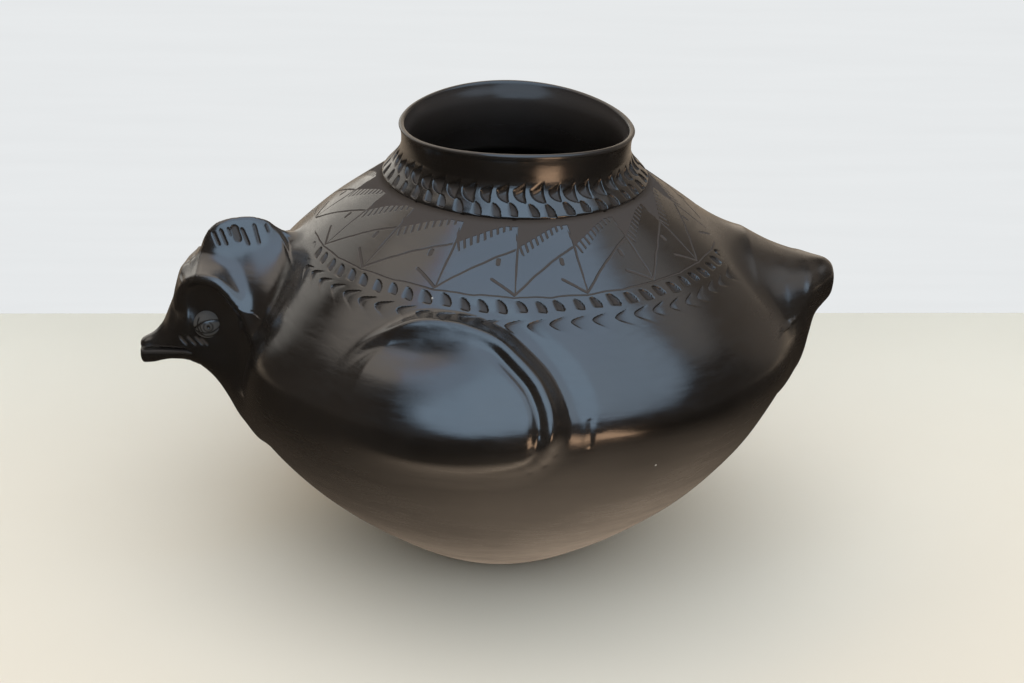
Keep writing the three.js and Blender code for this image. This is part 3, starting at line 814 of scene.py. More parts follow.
def new_piece(name: str, points: Sequence, edges: Sequence, faces: Sequence) -> bpy.types.Object:
    """Make an object from points in metres with edges and faces between them."""
    mesh = bpy.data.meshes.new(name)
    mesh.from_pydata(points, edges, faces)
    piece = bpy.data.objects.new(name, mesh)
    bpy.context.collection.objects.link(piece)
    return piece


def choose_none() -> None:
    """Leave no object selected."""
    for other in list(bpy.context.selected_objects):
        other.select_set(False)


def choose(piece: bpy.types.Object) -> None:
    """Make a piece the only selected object and the active one."""
    choose_none()
    piece.select_set(True)
    bpy.context.view_layer.objects.active = piece


def face_out(piece: bpy.types.Object, weld: float = 0.0) -> None:
    """Turn a piece's faces outwards, after welding points closer than a distance if it is given."""
    choose(piece)
    bpy.ops.object.mode_set(mode="EDIT")
    bpy.ops.mesh.select_all(action="SELECT")
    if weld > 0:
        bpy.ops.mesh.remove_doubles(threshold=weld)
    bpy.ops.mesh.normals_make_consistent(inside=False)
    bpy.ops.object.mode_set(mode="OBJECT")


def fetch(items: bpy.types.bpy_prop_collection, key: str, kind: type, width: int = 1) -> Array:
    """Return a property of every item in one flat array, each taking up its width."""
    values = np.zeros(len(items) * width, kind)
    items.foreach_get(key, values)
    return values


def read_places(mesh: bpy.types.Mesh) -> Array:
    """Return a mesh's points in millimetres."""
    return fetch(mesh.vertices, "co", float, 3).reshape(-1, 3) / MM


def write_places(mesh: bpy.types.Mesh, places: Array) -> None:
    """Move a mesh's points to places in millimetres."""
    mesh.vertices.foreach_set("co", (places * MM).astype(np.float32).ravel())
    mesh.update()


def settle(piece: bpy.types.Object, normals: Array | None, carved: Array) -> None:
    """Smooth a piece's shading, set the normals that are known and store how carved it is.

    Args:
        piece: The piece.
        normals: One row for each point, zero where Blender's own normal is kept.
        carved: How unburnished the clay is at each point, from 0 to 1.
    """
    choose(piece)
    bpy.ops.object.shade_smooth_by_angle(angle=math.radians(SMOOTH_UNDER))
    mesh = piece.data
    layer = mesh.attributes.new(ATTRIBUTE, "FLOAT", "POINT")
    layer.data.foreach_set("value", carved.astype(np.float32))
    if normals is not None:
        mesh.normals_split_custom_set_from_vertices([tuple(row) for row in normals.tolist()])


@dataclass
class ClayBlock:
    """A block of space on an even grid, where forms are fields of distance in millimetres."""

    low: tuple[float, float, float]
    high: tuple[float, float, float]
    pitch: float

    def __post_init__(self) -> None:
        """Lay out the grid's three coordinates."""
        axes = [np.arange(a, b + self.pitch, self.pitch) for a, b in zip(self.low, self.high)]
        self.x, self.y, self.z = np.meshgrid(*axes, indexing="ij", sparse=True)
        self.shape = tuple(len(axis) for axis in axes)

    @property
    def face(self) -> tuple[Array, Array]:
        """Return how far forward of the face's datum and how high over it each point is."""
        return -self.x - REACH, self.z - RISE

    def full(self, values: Array) -> Array:
        """Return values spread over the whole grid."""
        return np.ascontiguousarray(np.broadcast_to(values, self.shape))

    def evened(self, values: Array) -> Array:
        """Return a field divided by its slope, so that it measures distance near its surface."""
        values = self.full(values)
        slope = np.sqrt(sum(part**2 for part in np.gradient(values, self.pitch)))
        return values / np.clip(slope, 0.25, 12)

    def read(self, values: Array, places: Array) -> Array:
        """Return a field at places in millimetres, read between the grid's points."""
        at = (places - np.array(self.low)) / self.pitch
        at = np.clip(at, 0, np.array(self.shape) - 1.001)
        base = at.astype(int)
        part = at - base
        total = np.zeros(len(places))
        for corner in np.ndindex(2, 2, 2):
            share = np.prod(np.where(np.array(corner) == 1, part, 1 - part), axis=1)
            i, j, k = (base + corner).T
            total += share * values[i, j, k]
        return total

    def mesh(
        self, name: str, values: Array, skin: Array, carved: Array, shading: Array | None = None
    ) -> bpy.types.Object:
        """Skin a field where it is zero.

        Args:
            name: Name of the piece.
            values: The closed form's distances.
            skin: The distances whose slopes give the visible surface's normals.
            carved: How unburnished the clay is, from 0 to 1.
            shading: A field whose slopes give the normals in place of the skin's.

        Returns:
            The piece, in metres, with its normals and carved attribute.
        """
        grid = openvdb.FloatGrid(FIELD_BAND)
        near = np.clip(values, -FIELD_BAND, FIELD_BAND)
        grid.copyFromArray(np.ascontiguousarray(near.astype(np.float32)))
        points, quads = grid.convertToQuads(0.0)
        places = points * self.pitch + np.array(self.low)
        piece = new_piece(name, (places * MM).tolist(), [], quads.tolist())
        face_out(piece, weld=1e-6)
        places = read_places(piece.data)
        slopes = np.gradient(skin if shading is None else shading, self.pitch)
        facing = unit(np.column_stack([self.read(part, places) for part in slopes]))
        away = np.abs(self.read(skin - values, places))
        facing[away > SKIN_BAND] = 0
        settle(piece, facing, np.clip(self.read(carved, places), 0, 1))
        return piece


def luted(skin: Array, host: Array, part: Array, fillet: float) -> Array:
    """Close a piece that is luted to the wall.

    Args:
        skin: The skin over the piece and the wall.
        host: The distance to the wall's outside.
        part: The distance to the piece's own form.
        fillet: The width of the fillet between them.

    Returns:
        The piece's closed form: as far as its fillet goes, and into the wall.
    """
    sunk = SEAM_SINK * smoothstep(SEAM_START * fillet, fillet, part - host)
    return np.maximum(np.maximum(skin + sunk, part - host - fillet), -host - UNDER_WALL)


@dataclass(frozen=True)
class Sections:
    """A form given by upright egg-shaped sections, at distances forward of the face's datum.

    Each row, from the tip back, holds the distance forward, the heights of the top, the bottom and
    the widest place, half the width, and how square the upper and the lower half are.
    """

    rows: tuple[tuple[float, ...], ...]
    direction: int
    tip_rounding: float = 1.2

    def sized(self, forward: Array, column: int) -> Array:
        """Return one column of the table at distances forward."""
        rows = np.array(self.rows)[::-1]
        return follow(forward.ravel(), rows[:, 0], rows[:, column]).reshape(forward.shape)

    def field(self, block: ClayBlock) -> Array:
        """Return the form's distance field over a block."""
        forward = self.direction * block.x - REACH
        top, bottom, middle, half, crown, jaw = (self.sized(forward, column) for column in range(1, 7))
        up = block.z - RISE - middle
        across = np.abs(block.y) / half
        power = np.where(up >= 0, crown, jaw)
        height = np.where(up >= 0, top - middle, middle - bottom)
        ring = (across**power + (np.abs(up) / height) ** power) ** (1 / power) - 1
        body = block.evened(ring * np.minimum(half, height))
        return -smooth_union(-body, -block.full(forward - self.rows[0][0]), self.tip_rounding)


@dataclass(frozen=True)
class Lump:
    """An egg of clay or of emptiness: its middle and half sizes, tilted along the face."""

    forward: float
    side: float
    up: float
    length: float
    depth: float
    height: float
    tilt: float = 0

    def frame(self, block: ClayBlock) -> tuple[Array, Array]:
        """Return each point's place along the egg and up it."""
        x, z = block.x + REACH + self.forward, block.z - RISE - self.up
        return tilted(x, z, -math.radians(self.tilt))

    def field(self, block: ClayBlock, sign: int) -> Array:
        """Return the egg's distance field on one side of the head."""
        along, upward = self.frame(block)
        size = np.sqrt((along / self.length) ** 2 + ((block.y - sign * self.side) / self.depth) ** 2
                       + (upward / self.height) ** 2)
        return block.evened((size - 1) * min(self.length, self.depth, self.height))


@dataclass
class Head:
    """The bird's head: throat, bills, comb, brows and eyes, luted to the vessel."""

    vessel: Vessel
    beak_reach: float = 26.5
    mouth_rise: float = -17.2
    corner_rise: float = -13.8
    corner_forward: float = 8.0
    mouth_opening: float = 1.3
    mouth_depth: float = 4.5
    bill_root: float = 5.5
    bill_overlap: float = 1.3
    under_lumps: float = 0.8
    fillet: float = 11.0
    sections: tuple[tuple[float, ...], ...] = (
        (26.5, -13.8, -22.3, -18, 3, 2.2, 2.4), (25, -12.6, -23.5, -18, 4.6, 2, 2.2),
        (21, -10.2, -23, -18, 6.2, 1.8, 2.2), (17, -5.5, -21.6, -17, 8, 1.6, 2.2),
        (13, 4, -20.8, -15, 10, 1.5, 2.2), (9, 10.3, -20.8, -12, 12.5, 1.8, 2.2),
        (5, 15, -22, -8, 15.5, 2.5, 2.1), (0, 18.3, -25, -4, 18.5, 3.4, 2),
        (-5, 19.5, -30, -4, 20.5, 3.4, 2), (-11, 21, -37.5, -5, 22.5, 3, 2),
        (-17, 23.5, -47.5, -7, 26, 2.4, 2), (-25, 27, -56, -9, 33, 2, 2), (-45, 30, -58, -10, 40, 2, 2),
    )
    # The middle, forward and up, the half length and height, and the socket's tilt
    socket: tuple[float, float, float, float, float] = (-5.0, 3.9, 15.5, 10.6, 45)
    cheek_lobe: tuple[float, float, float, float] = (-7.0, -13.0, 17.0, 17.0)
    # How softly the socket joins the cheek's lobe, the floor of both and their edge
    socket_blends: tuple[float, float, float] = (6.0, 3.0, 1.6)
    # Half the width between the two sides of the face, at distances forward
    face_line: tuple[tuple[float, float], ...] = (
        (-30, 48), (-24, 38), (-20, 29.5), (-15, 22.5), (-10, 18.5), (-5, 16), (0, 14.5), (5, 13),
        (9, 12.8), (14, 12.8),
    )
    squareness: float = 2.4
    # How deep the pocket round the eye is at least, and how much deeper under the brow
    under_socket: tuple[float, float] = (1.4, 3.4)
    # The block of space that each piece is made in, by two corners, and its pitch
    skull_space: Space = ((-156, -46, 32), (-62, 46, 150), 0.62)
    bill_space: Space = ((-154, -14, 74), (-126, 14, 92), 0.36)
    comb_space: Space = ((-138, -46, 84), (-66, 46, 146), 0.5)
    brow_space: Space = ((-144, -44, 78), (-86, 0, 136), 0.44)
    eye_space: Space = ((-132, -20, 92), (-113, -7, 108), 0.2)
    eye: Lump = Lump(-2.6, 13.2, -1.4, 6.3, 3.8, 6.2, -16)
    comb_blend: float = 8.0
    # Half the crest's thickness, how far down it is rounded, and how its sides flare
    comb_edge: float = 1.7
    comb_rounding: float = 3.2
    comb_flare: float = 1.15
    brow_blend: float = 7.0
    # Distance forward, height of the crest and of the foot, and half the width at the foot
    comb_sections: tuple[tuple[float, ...], ...] = (
        (5.2, 16.5, 8, 2), (3, 20.5, 10, 4), (1, 26.5, 12, 7), (-1, 32, 13, 9.5), (-3.5, 36, 14, 11),
        (-7, 38.6, 12, 13.9), (-13, 40.3, 11, 16.5), (-19, 40.8, 10, 19.5), (-26, 39.4, 8, 24),
        (-31, 35.6, 6, 27), (-35, 31, 5, 28), (-39, 25, 4, 26), (-43, 17, 2, 20),
    )
    # Both ends of each stroke, forward and up, and half its width
    comb_strokes: tuple[tuple[float, float, float, float, float], ...] = (
        (-4.8, 34.2, -6.6, 30.6, 0.55), (-7.6, 35.6, -9.9, 30.8, 0.5), (-13.3, 36.4, -14.6, 33.2, 1.5),
        (-16.4, 36.2, -18.8, 31.4, 0.6), (-21.4, 38.0, -23.2, 32.0, 0.55), (-26.3, 37.8, -27.4, 35.6, 0.5),
        (-10.8, 36.4, -11.8, 34.0, 0.4),
    )
    cheek_strokes: tuple[tuple[float, float, float, float], ...] = (
        (9.3, -7.8, 6.8, -10.4), (6.0, -7.3, 3.0, -10.4), (2.9, -7.1, 0.1, -9.9), (0.6, -7.6, -1.9, -9.6),
    )
    # Forward, to the side and up
    brow_path: tuple[tuple[float, float, float], ...] = (
        (8.0, 6.0, 8.5), (7.2, 9, 13), (4.5, 12.5, 17.3), (-1, 17, 20), (-5.7, 19.3, 19.6),
        (-9.8, 20.8, 16.8), (-13, 21.8, 12.8), (-15.7, 22.8, 9), (-18.5, 24.2, 5.5), (-22, 25.5, 1.5),
    )
    brow_girth: float = 2.3
    brow_web: tuple[float, float] = (-12.5, 0.8)

    def throat(self, block: ClayBlock) -> tuple[Array, Array]:
        """Return the vessel and the plain head."""
        return self.vessel.distance(block.x, block.y, block.z), Sections(self.sections, -1).field(block)

    def with_sockets(self, block: ClayBlock, skin: Array) -> Array:
        """Return the skin with both sides of the face pressed in under the brows, deepest round the eyes."""
        forward, up = block.face
        middle, rise, length, height, tilt = self.socket
        along, upward = tilted(forward - middle, up - rise, math.radians(tilt))
        square = self.squareness
        oval = ((np.abs(along) / length) ** square + (np.abs(upward) / height) ** square) ** (1 / square) - 1
        at, low, long, tall = self.cheek_lobe
        lobe = np.hypot((forward - at) / long, (up - low) / tall) - 1
        joining, flooring, edging = self.socket_blends
        region = block.full(smooth_union(oval * height, lobe * tall, joining))
        line = np.array(self.face_line)
        side = np.interp(forward, line[:, 0], line[:, 1])
        least, more = self.under_socket
        deeper = least + more * smoothstep(-2, 7.5, forward) * smoothstep(-10, 9, up)
        pocket = deeper * smoothstep(1.6, -9.5, block.full(oval * height))
        wall = block.evened(side - pocket - np.abs(block.y))
        return carve(skin, -smooth_union(-region, -wall, flooring), edging)

    def mouth_line(self, forward: Array) -> Array:
        """Return the height of the lower lip over the datum, at distances forward."""
        share = (forward - self.corner_forward) / (self.beak_reach - self.corner_forward)
        return self.corner_rise + (self.mouth_rise - self.corner_rise) * np.clip(share, 0, 1.3)

    def cheek(self, block: ClayBlock) -> Array:
        """Return the depth of the light strokes under the eye."""
        forward, up = block.face
        depth = np.zeros(np.broadcast(forward, up).shape)
        for a, b, c, d in self.cheek_strokes:
            depth = np.maximum(depth, 0.4 * hump(stroke(forward, up, (a, b), (c, d)), 0, 0.5))
        return depth

    def skull(self) -> bpy.types.Object:
        """Make the head with the throat's fillet, sockets, mouth slit and cheek strokes."""
        block = ClayBlock(*self.skull_space)
        part = self.crowned(block)
        host, head = part["host"], part["head"]
        strokes = block.full(self.cheek(block))
        skin = part["skin"] + strokes
        forward, up = block.face
        lip = self.mouth_line(forward)
        slit = np.maximum(np.maximum(lip - up, up - lip - self.mouth_opening), self.corner_forward - forward)
        values = np.maximum(skin, -np.maximum(slit, -skin - self.mouth_depth))
        front = smoothstep(self.bill_root - 0.2, self.bill_root + 1.6, forward)
        bill = front * smoothstep(0.9, 0.3, up - lip)
        covered = np.maximum(part["in_comb"], part["in_brow"])
        values = values + self.bill_overlap * bill + self.under_lumps * smoothstep(1.5, 4.0, covered)
        values = luted(values, host, head, self.fillet)
        sheen = np.maximum(np.clip(strokes / 0.2, 0, 1) * 0.95, part["matt"])
        corner = smoothstep(self.corner_forward - 1, self.corner_forward + 1, forward)
        rim = smoothstep(2.4, 0.4, np.abs(up - lip - 0.6)) * corner
        matt = np.maximum(sheen, block.full(rim) * 0.75)
        return block.mesh("head_worked", values, skin, matt, part["shading"] + strokes)

    def lower_bill(self) -> bpy.types.Object:
        """Make the lower bill under the mouth slit."""
        block = ClayBlock(*self.bill_space)
        head = Sections(self.sections, -1).field(block)
        forward, up = block.face
        lip = self.mouth_line(forward)
        root = 0.3 * smoothstep(self.bill_root + 1.2, self.bill_root, forward)
        top = -smooth_union(-head, -(up - lip), 0.7)
        values = np.maximum(top + root, self.bill_root - 0.9 - forward)
        rim = smoothstep(2.2, 0.3, lip - up)
        return block.mesh("lower_bill_worked", values, top, block.full(rim) * 0.7)

    def crest_field(self, block: ClayBlock) -> tuple[Array, Array]:
        """Return the comb's field and the depth of the strokes gouged in its sides."""
        rows = np.array(self.comb_sections)[::-1]
        forward, up = block.face
        at = forward.ravel()
        crest, foot, spread = (follow(at, rows[:, 0], rows[:, k]).reshape(forward.shape) for k in (1, 2, 3))
        half = np.minimum(self.comb_edge, spread)
        share = (crest - up) / (crest - foot)
        down = np.clip(share * (crest - foot) / self.comb_rounding, 0, 1)
        flare = np.clip(share, 0, 1) ** self.comb_flare
        under = 1.6 * np.maximum(share - 1, 0) * np.maximum(spread - half, 6)
        width = half * np.sqrt(1 - (1 - down) ** 2) + (spread - half) * flare - under
        above = np.hypot(block.y, np.maximum(up - crest, 0))
        ridge = np.where(share > 0, np.abs(block.y) - width, above)
        comb = block.evened(ridge)
        comb = -smooth_union(-comb, -(block.full(forward) - rows[-1, 0] - 0.5), 2.0)
        depth = np.zeros(np.broadcast(forward, up).shape)
        for a, b, c, d, wide in self.comb_strokes:
            line = stroke(forward, up, (a, b), (c, d))
            depth = np.maximum(depth, 0.5 * smoothstep(wide + 0.3, wide - 0.4, line))
        return comb, block.full(depth)

    def brow_field(self, block: ClayBlock, sign: int) -> Array:
        """Return the field of one brow: a roll that thins to its ends, with a web back to the crown."""
        path = np.array(self.brow_path)
        at = np.linspace(0, len(path) - 1, 60)
        line = np.column_stack([follow(at, np.arange(len(path)), path[:, k]) for k in range(3)])
        brow = np.full(block.shape, 1e9)
        low, high = line.min(axis=0) - 16, line.max(axis=0) + 16
        spans = (
            (-REACH - high[0], -REACH - low[0]),
            sorted((sign * low[1], sign * high[1])),
            (RISE + low[2], RISE + high[2]),
        )
        axes = (block.x, block.y, block.z)
        near = tuple(slice(*np.searchsorted(axis.ravel(), span)) for axis, span in zip(axes, spans))
        x, y, z = block.x[near[0]], block.y[:, near[1]], block.z[:, :, near[2]]
        for share, (forward, side, up) in zip(np.linspace(0, 1, len(line)), line):
            swell = math.sqrt(max(math.sin(math.pi * share), 0.0))
            girth = self.brow_girth * (0.45 + 0.55 * swell)
            inward = np.array(self.brow_web) * (0.3 + 0.7 * swell)
            out, up_from = sign * y - side, z - RISE - up
            back = np.clip((out * inward[0] + up_from * inward[1]) / (inward @ inward), 0, 1)
            away = (out - back * inward[0]) ** 2 + (up_from - back * inward[1]) ** 2
            brow[near] = np.minimum(brow[near], np.sqrt((x + REACH + forward) ** 2 + away) - girth)
        return brow

    def crowned(self, block: ClayBlock) -> dict[str, Array]:
        """Return the fields that the head's pieces share.

        Args:
            block: The space to fill.

        Returns:
            By name: the vessel (host) and the plain head; the skin over all of it, with its strokes,
            and the field that shades it; the base under comb and brows; how deep each point lies in
            the comb and in the brows; and how unburnished the strokes are (matt).
        """
        host, head = self.throat(block)
        comb, strokes = self.crest_field(block)
        brow = np.minimum(self.brow_field(block, -1), self.brow_field(block, 1))
        fields = {"host": host, "head": head, "matt": np.clip(strokes / 0.4, 0, 1) * 0.85}
        for name, fillet in (("shading", SHADED_SHARE * self.fillet), ("skin", self.fillet)):
            joined = smooth_union(host, head, fillet)
            whole = smooth_union(smooth_union(joined, comb, self.comb_blend), brow, self.brow_blend)
            fields[name] = self.with_sockets(block, whole) + strokes
        fields["base"] = self.with_sockets(block, joined)
        fields["in_comb"] = self.comb_blend - (comb - joined)
        fields["in_brow"] = self.brow_blend - (brow - joined)
        return fields

    def laid_on(
        self, name: str, block: ClayBlock, inside: str, lift: float, depth: float
    ) -> bpy.types.Object:
        """Make a piece of the crown where its lump shapes the shared skin.

        Args:
            name: Name of the piece.
            block: The space that holds it.
            inside: The shared field that is positive where the piece shows.
            lift: How far it lies over the head's own piece.
            depth: How far it reaches in under the plain head.

        Returns:
            The piece.
        """
        part = self.crowned(block)
        values = np.maximum(np.maximum(part["skin"] - lift, -part[inside]), -part["base"] - depth)
        return block.mesh(name, values, part["skin"], part["matt"], part["shading"])

    def comb(self) -> bpy.types.Object:
        """Make the comb with its gouged strokes, flaring into the crown."""
        return self.laid_on("comb_worked", ClayBlock(*self.comb_space), "in_comb", lift=0.03, depth=3)

    def brow(self) -> bpy.types.Object:
        """Make the left brow: a rounded hood that thins towards its ends."""
        block = ClayBlock(*self.brow_space)
        return self.laid_on("brow_left_worked", block, "in_brow", lift=0.055, depth=2.5)

    def eyeball(self) -> bpy.types.Object:
        """Make the left eye: an almond with incised lids, an iris ring and a pupil pit."""
        eye = self.eye
        block = ClayBlock(*self.eye_space)
        along, upward = eye.frame(block)
        ball = eye.field(block, -1)
        arc = 1 - (along / eye.length) ** 2
        front = smoothstep(-2.2, -3.0, along)
        corner = np.hypot(along - 1.2, upward - 0.3)
        upper_lid, lower_lid = np.abs(upward - 2.5 * arc), np.abs(upward + 2.6 * arc)
        fold = np.abs(upward + 4.3 * arc + 0.2)
        pupil, iris = np.hypot(along / 0.7, upward), np.abs(np.hypot(along + 0.1, upward) - 1.9)
        lines = (
            (upper_lid, 0.42, 0.45), (lower_lid, 0.3, 0.4), (fold, 0.3, 0.35), (pupil, 0.8, 0.6),
            (iris, 0.28, 0.25), (np.abs(corner - 5.6), 0.3, 0.35 * front),
            (np.abs(corner - 4.5), 0.25, 0.3 * front),
        )
        cut = np.zeros(np.broadcast(along, upward).shape)
        for gap, wide, deep in lines:
            cut = np.maximum(cut, deep * hump(gap, 0, wide))
        cut = block.full(cut)
        # The incised lines are also coloured dark and glossy against the pale matt eye: painted shade in the
        # grooves
        return block.mesh("eye_left_worked", ball + cut, ball + cut, 1 - 0.9 * np.clip(cut / 0.35, 0, 1))


@dataclass
class Tail:
    """The wedge opposite the head, luted to the vessel with a long fillet."""

    vessel: Vessel
    fillet: float = 12.0
    beside: float = 3.0
    space: Space = ((76, -66, 40), (144, 66, 152), 0.75)
    sections: tuple[tuple[float, ...], ...] = (
        (15, 18, 10, 14.5, 3.2, 2.1, 2), (13.6, 21, 6.5, 14.5, 6.5, 2.1, 1.9),
        (10.5, 23, 3, 14.5, 10.5, 2, 1.9), (6, 23.8, -2, 13.5, 16, 2, 1.9),
        (2.5, 24.4, -11, 13.5, 20.5, 2, 1.9), (-2, 25.4, -26, 10.5, 25.5, 1.9, 1.9),
        (-10, 28, -38, 8, 31, 1.9, 1.9), (-24, 34, -40, 6, 34, 2, 2),
    )

    def build(self) -> bpy.types.Object:
        """Make the tail and its fillet."""
        block = ClayBlock(*self.space)
        wedge = Sections(self.sections, 1)
        rows = np.array(self.sections)[::-1]
        half = np.interp(block.x - REACH, rows[:, 0], rows[:, 4])
        beside = 0.75 * (np.abs(block.y) - half) - self.beside
        tail = -smooth_union(-wedge.field(block), -beside, self.beside)
        host = self.vessel.distance(block.x, block.y, block.z)
        skin = smooth_union(host, tail, self.fillet)
        values = luted(skin, host, tail, self.fillet)
        shading = smooth_union(host, tail, SHADED_SHARE * self.fillet)
        return block.mesh("tail_worked", values, skin, np.zeros(block.shape), shading)


@dataclass
class WingPads:
    """The two wing pads, laid over the belly on the same skin as the wall."""

    vessel: Vessel
    pitch: float = 0.62
    spread: float = 2.6
    thickness: float = 1.6

    def blank(self) -> bpy.types.Object:
        """Lay out the left wing flat, as a grid cut to its outline, in millimetres along and up."""
        wing = self.vessel.wing
        line = wing.closed()
        low, high = line.min(axis=0) - self.spread, line.max(axis=0) + self.spread
        columns, rows = (round(part) for part in (high - low) / self.pitch)
        bpy.ops.mesh.primitive_grid_add(x_subdivisions=columns, y_subdivisions=rows, size=2)
        piece = bpy.context.object
        piece.name = piece.data.name = "wing_left_worked"
        flat = read_places(piece.data) * MM
        along, run = (low + (flat[:, :2] + 1) / 2 * (high - low)).T
        write_places(piece.data, np.column_stack([along, run, 0 * run]))
        choose(piece)
        bpy.ops.object.mode_set(mode="EDIT")
        bpy.ops.mesh.select_mode(type="VERT")
        bpy.ops.mesh.select_all(action="DESELECT")
        bpy.ops.object.mode_set(mode="OBJECT")
        piece.data.vertices.foreach_set("select", wing.edge(along, run) < -self.spread)
        bpy.ops.object.mode_set(mode="EDIT")
        bpy.ops.mesh.delete(type="VERT")
        bpy.ops.object.mode_set(mode="OBJECT")
        return piece

    def build(self) -> bpy.types.Object:
        """Make the left wing as a sheet that follows the worked skin, given a thickness."""
        wing, piece = self.vessel.wing, self.blank()
        flat = read_places(piece.data)
        turn, run = flat[:, 0] / wing.radius, flat[:, 1]
        edge = wing.edge(flat[:, 0], run)
        lift, marks, _ = self.vessel.skin(turn, run)
        sunk = 0.5 * smoothstep(0.3, -1.6, edge)
        places = self.vessel.plain(turn, run, lift - sunk)
        normals = self.vessel.normals(turn, run)
        inner = self.vessel.plain(turn, run, lift - sunk - self.thickness)
        write_places(piece.data, places)
        thicken = piece.modifiers.new("thickness", "SOLIDIFY")
        thicken.thickness, thicken.offset = self.thickness * MM, -1
        choose(piece)
        bpy.ops.object.modifier_apply(modifier=thicken.name)
        write_places(piece.data, np.vstack([places, inner]))
        face_out(piece)
        settle(piece, np.vstack([normals, 0 * normals]), np.concatenate([marks, 0 * marks]))
        return piece


def mirrored(piece: bpy.types.Object, name: str) -> bpy.types.Object:
    """Copy a left piece to the right side.

    Args:
        piece: The left piece.
        name: Name of the copy.

    Returns:
        The right piece, with its own mesh, normals and carved attribute.
    """
    source = piece.data
    vertex = fetch(source.loops, "vertex_index", np.int32)
    normals = np.zeros((len(source.vertices), 3))
    normals[vertex] = fetch(source.corner_normals, "vector", np.float32, 3).reshape(-1, 3)
    carved = fetch(source.attributes[ATTRIBUTE].data, "value", np.float32)
    places = read_places(source) * (1, -1, 1)
    faces = [tuple(reversed(face.vertices)) for face in source.polygons]
    copy = new_piece(name, (places * MM).tolist(), [], faces)
    settle(copy, unit(normals * (1, -1, 1)), carved)
    return copy


class NodePad:
    """Places nodes in one tree and wires them as they are placed."""

    def __init__(self, tree: bpy.types.NodeTree) -> None:
        """Start on an empty tree."""
        self.tree = tree
        tree.nodes.clear()

    def put(
        self, kind: str, inputs: dict[str | int, object] | None = None, **settings: object
    ) -> bpy.types.Node:
        """Add a node.

        Args:
            kind: Its type, without the ShaderNode in front.
            inputs: A value or an output socket for each input, by name or number.
            **settings: Properties of the node.

        Returns:
            The new node.
        """
        prefix = "" if kind.startswith("NodeGroup") else "ShaderNode"
        node = self.tree.nodes.new(prefix + kind)
        for name, value in settings.items():
            setattr(node, name, value)
        for key, value in (inputs or {}).items():
            if isinstance(value, bpy.types.NodeSocket):
                self.tree.links.new(value, node.inputs[key])
            else:
                node.inputs[key].default_value = value
        return node

    def give(self, value: bpy.types.NodeSocket, node: bpy.types.Node, key: str) -> None:
        """Link an output to an input of a node that is already placed."""
        self.tree.links.new(value, node.inputs[key])

    def math(self, operation: str, *values: object) -> bpy.types.NodeSocket:
        """Add a Math node and return its output."""
        return self.put("Math", dict(enumerate(values)), operation=operation).outputs[0]

    def vector(self, operation: str, *values: object, scale: object = None) -> bpy.types.NodeSocket:
        """Add a Vector Math node, with its scale if it has one, and return the output that it fills."""
        inputs: dict[str | int, object] = dict(enumerate(values))
        if scale is not None:
            inputs["Scale"] = scale
        node = self.put("VectorMath", inputs, operation=operation)
        return node.outputs["Value" if operation in ("DOT_PRODUCT", "LENGTH", "DISTANCE") else "Vector"]

    def ramp(
        self, value: object, low: float, high: float, start: float = 0.0, end: float = 1.0
    ) -> bpy.types.NodeSocket:
        """Return a soft step of a value from start at low to end at high."""
        inputs = {"Value": value, "From Min": low, "From Max": high, "To Min": start, "To Max": end}
        return self.put("MapRange", inputs, interpolation_type="SMOOTHSTEP").outputs["Result"]

    def blend(self, share: object, low: object, high: object) -> bpy.types.NodeSocket:
        """Return a colour between two colours."""
        return self.put("Mix", {0: share, 6: low, 7: high}, data_type="RGBA").outputs[2]

    def group(self, tree: bpy.types.NodeTree, inputs: dict[str | int, object]) -> bpy.types.Node:
        """Add a node group with its inputs."""
        return self.put("Group", inputs, node_tree=tree)


def new_finish(name: str) -> tuple[bpy.types.Material, NodePad, bpy.types.NodeSocket]:
    """Start a material. Return it, the pad for its nodes and the object's own coordinates."""
    material = bpy.data.materials.new(name)
    material.use_nodes = True
    pad = NodePad(material.node_tree)
    return material, pad, pad.put("TexCoord").outputs["Object"]


def effect(
    name: str, inputs: dict[str, tuple[str, object]], outputs: Sequence[str]
) -> tuple[NodePad, bpy.types.Node, bpy.types.Node]:
    """Start a node group.

    Args:
        name: Its name.
        inputs: The kind and default value of each input.
        outputs: The names of its outputs, all of them numbers.

    Returns:
        The pad for its nodes, the node that gives its inputs and the one that takes its outputs.
    """
    tree = bpy.data.node_groups.new(name, "ShaderNodeTree")
    for key, (kind, default) in inputs.items():
        socket = tree.interface.new_socket(name=key, in_out="INPUT", socket_type="NodeSocket" + kind)
        if default is not None:
            socket.default_value = default
    for key in outputs:
        tree.interface.new_socket(name=key, in_out="OUTPUT", socket_type="NodeSocketFloat")
    pad = NodePad(tree)
    return pad, pad.put("NodeGroupInput"), pad.put("NodeGroupOutput")


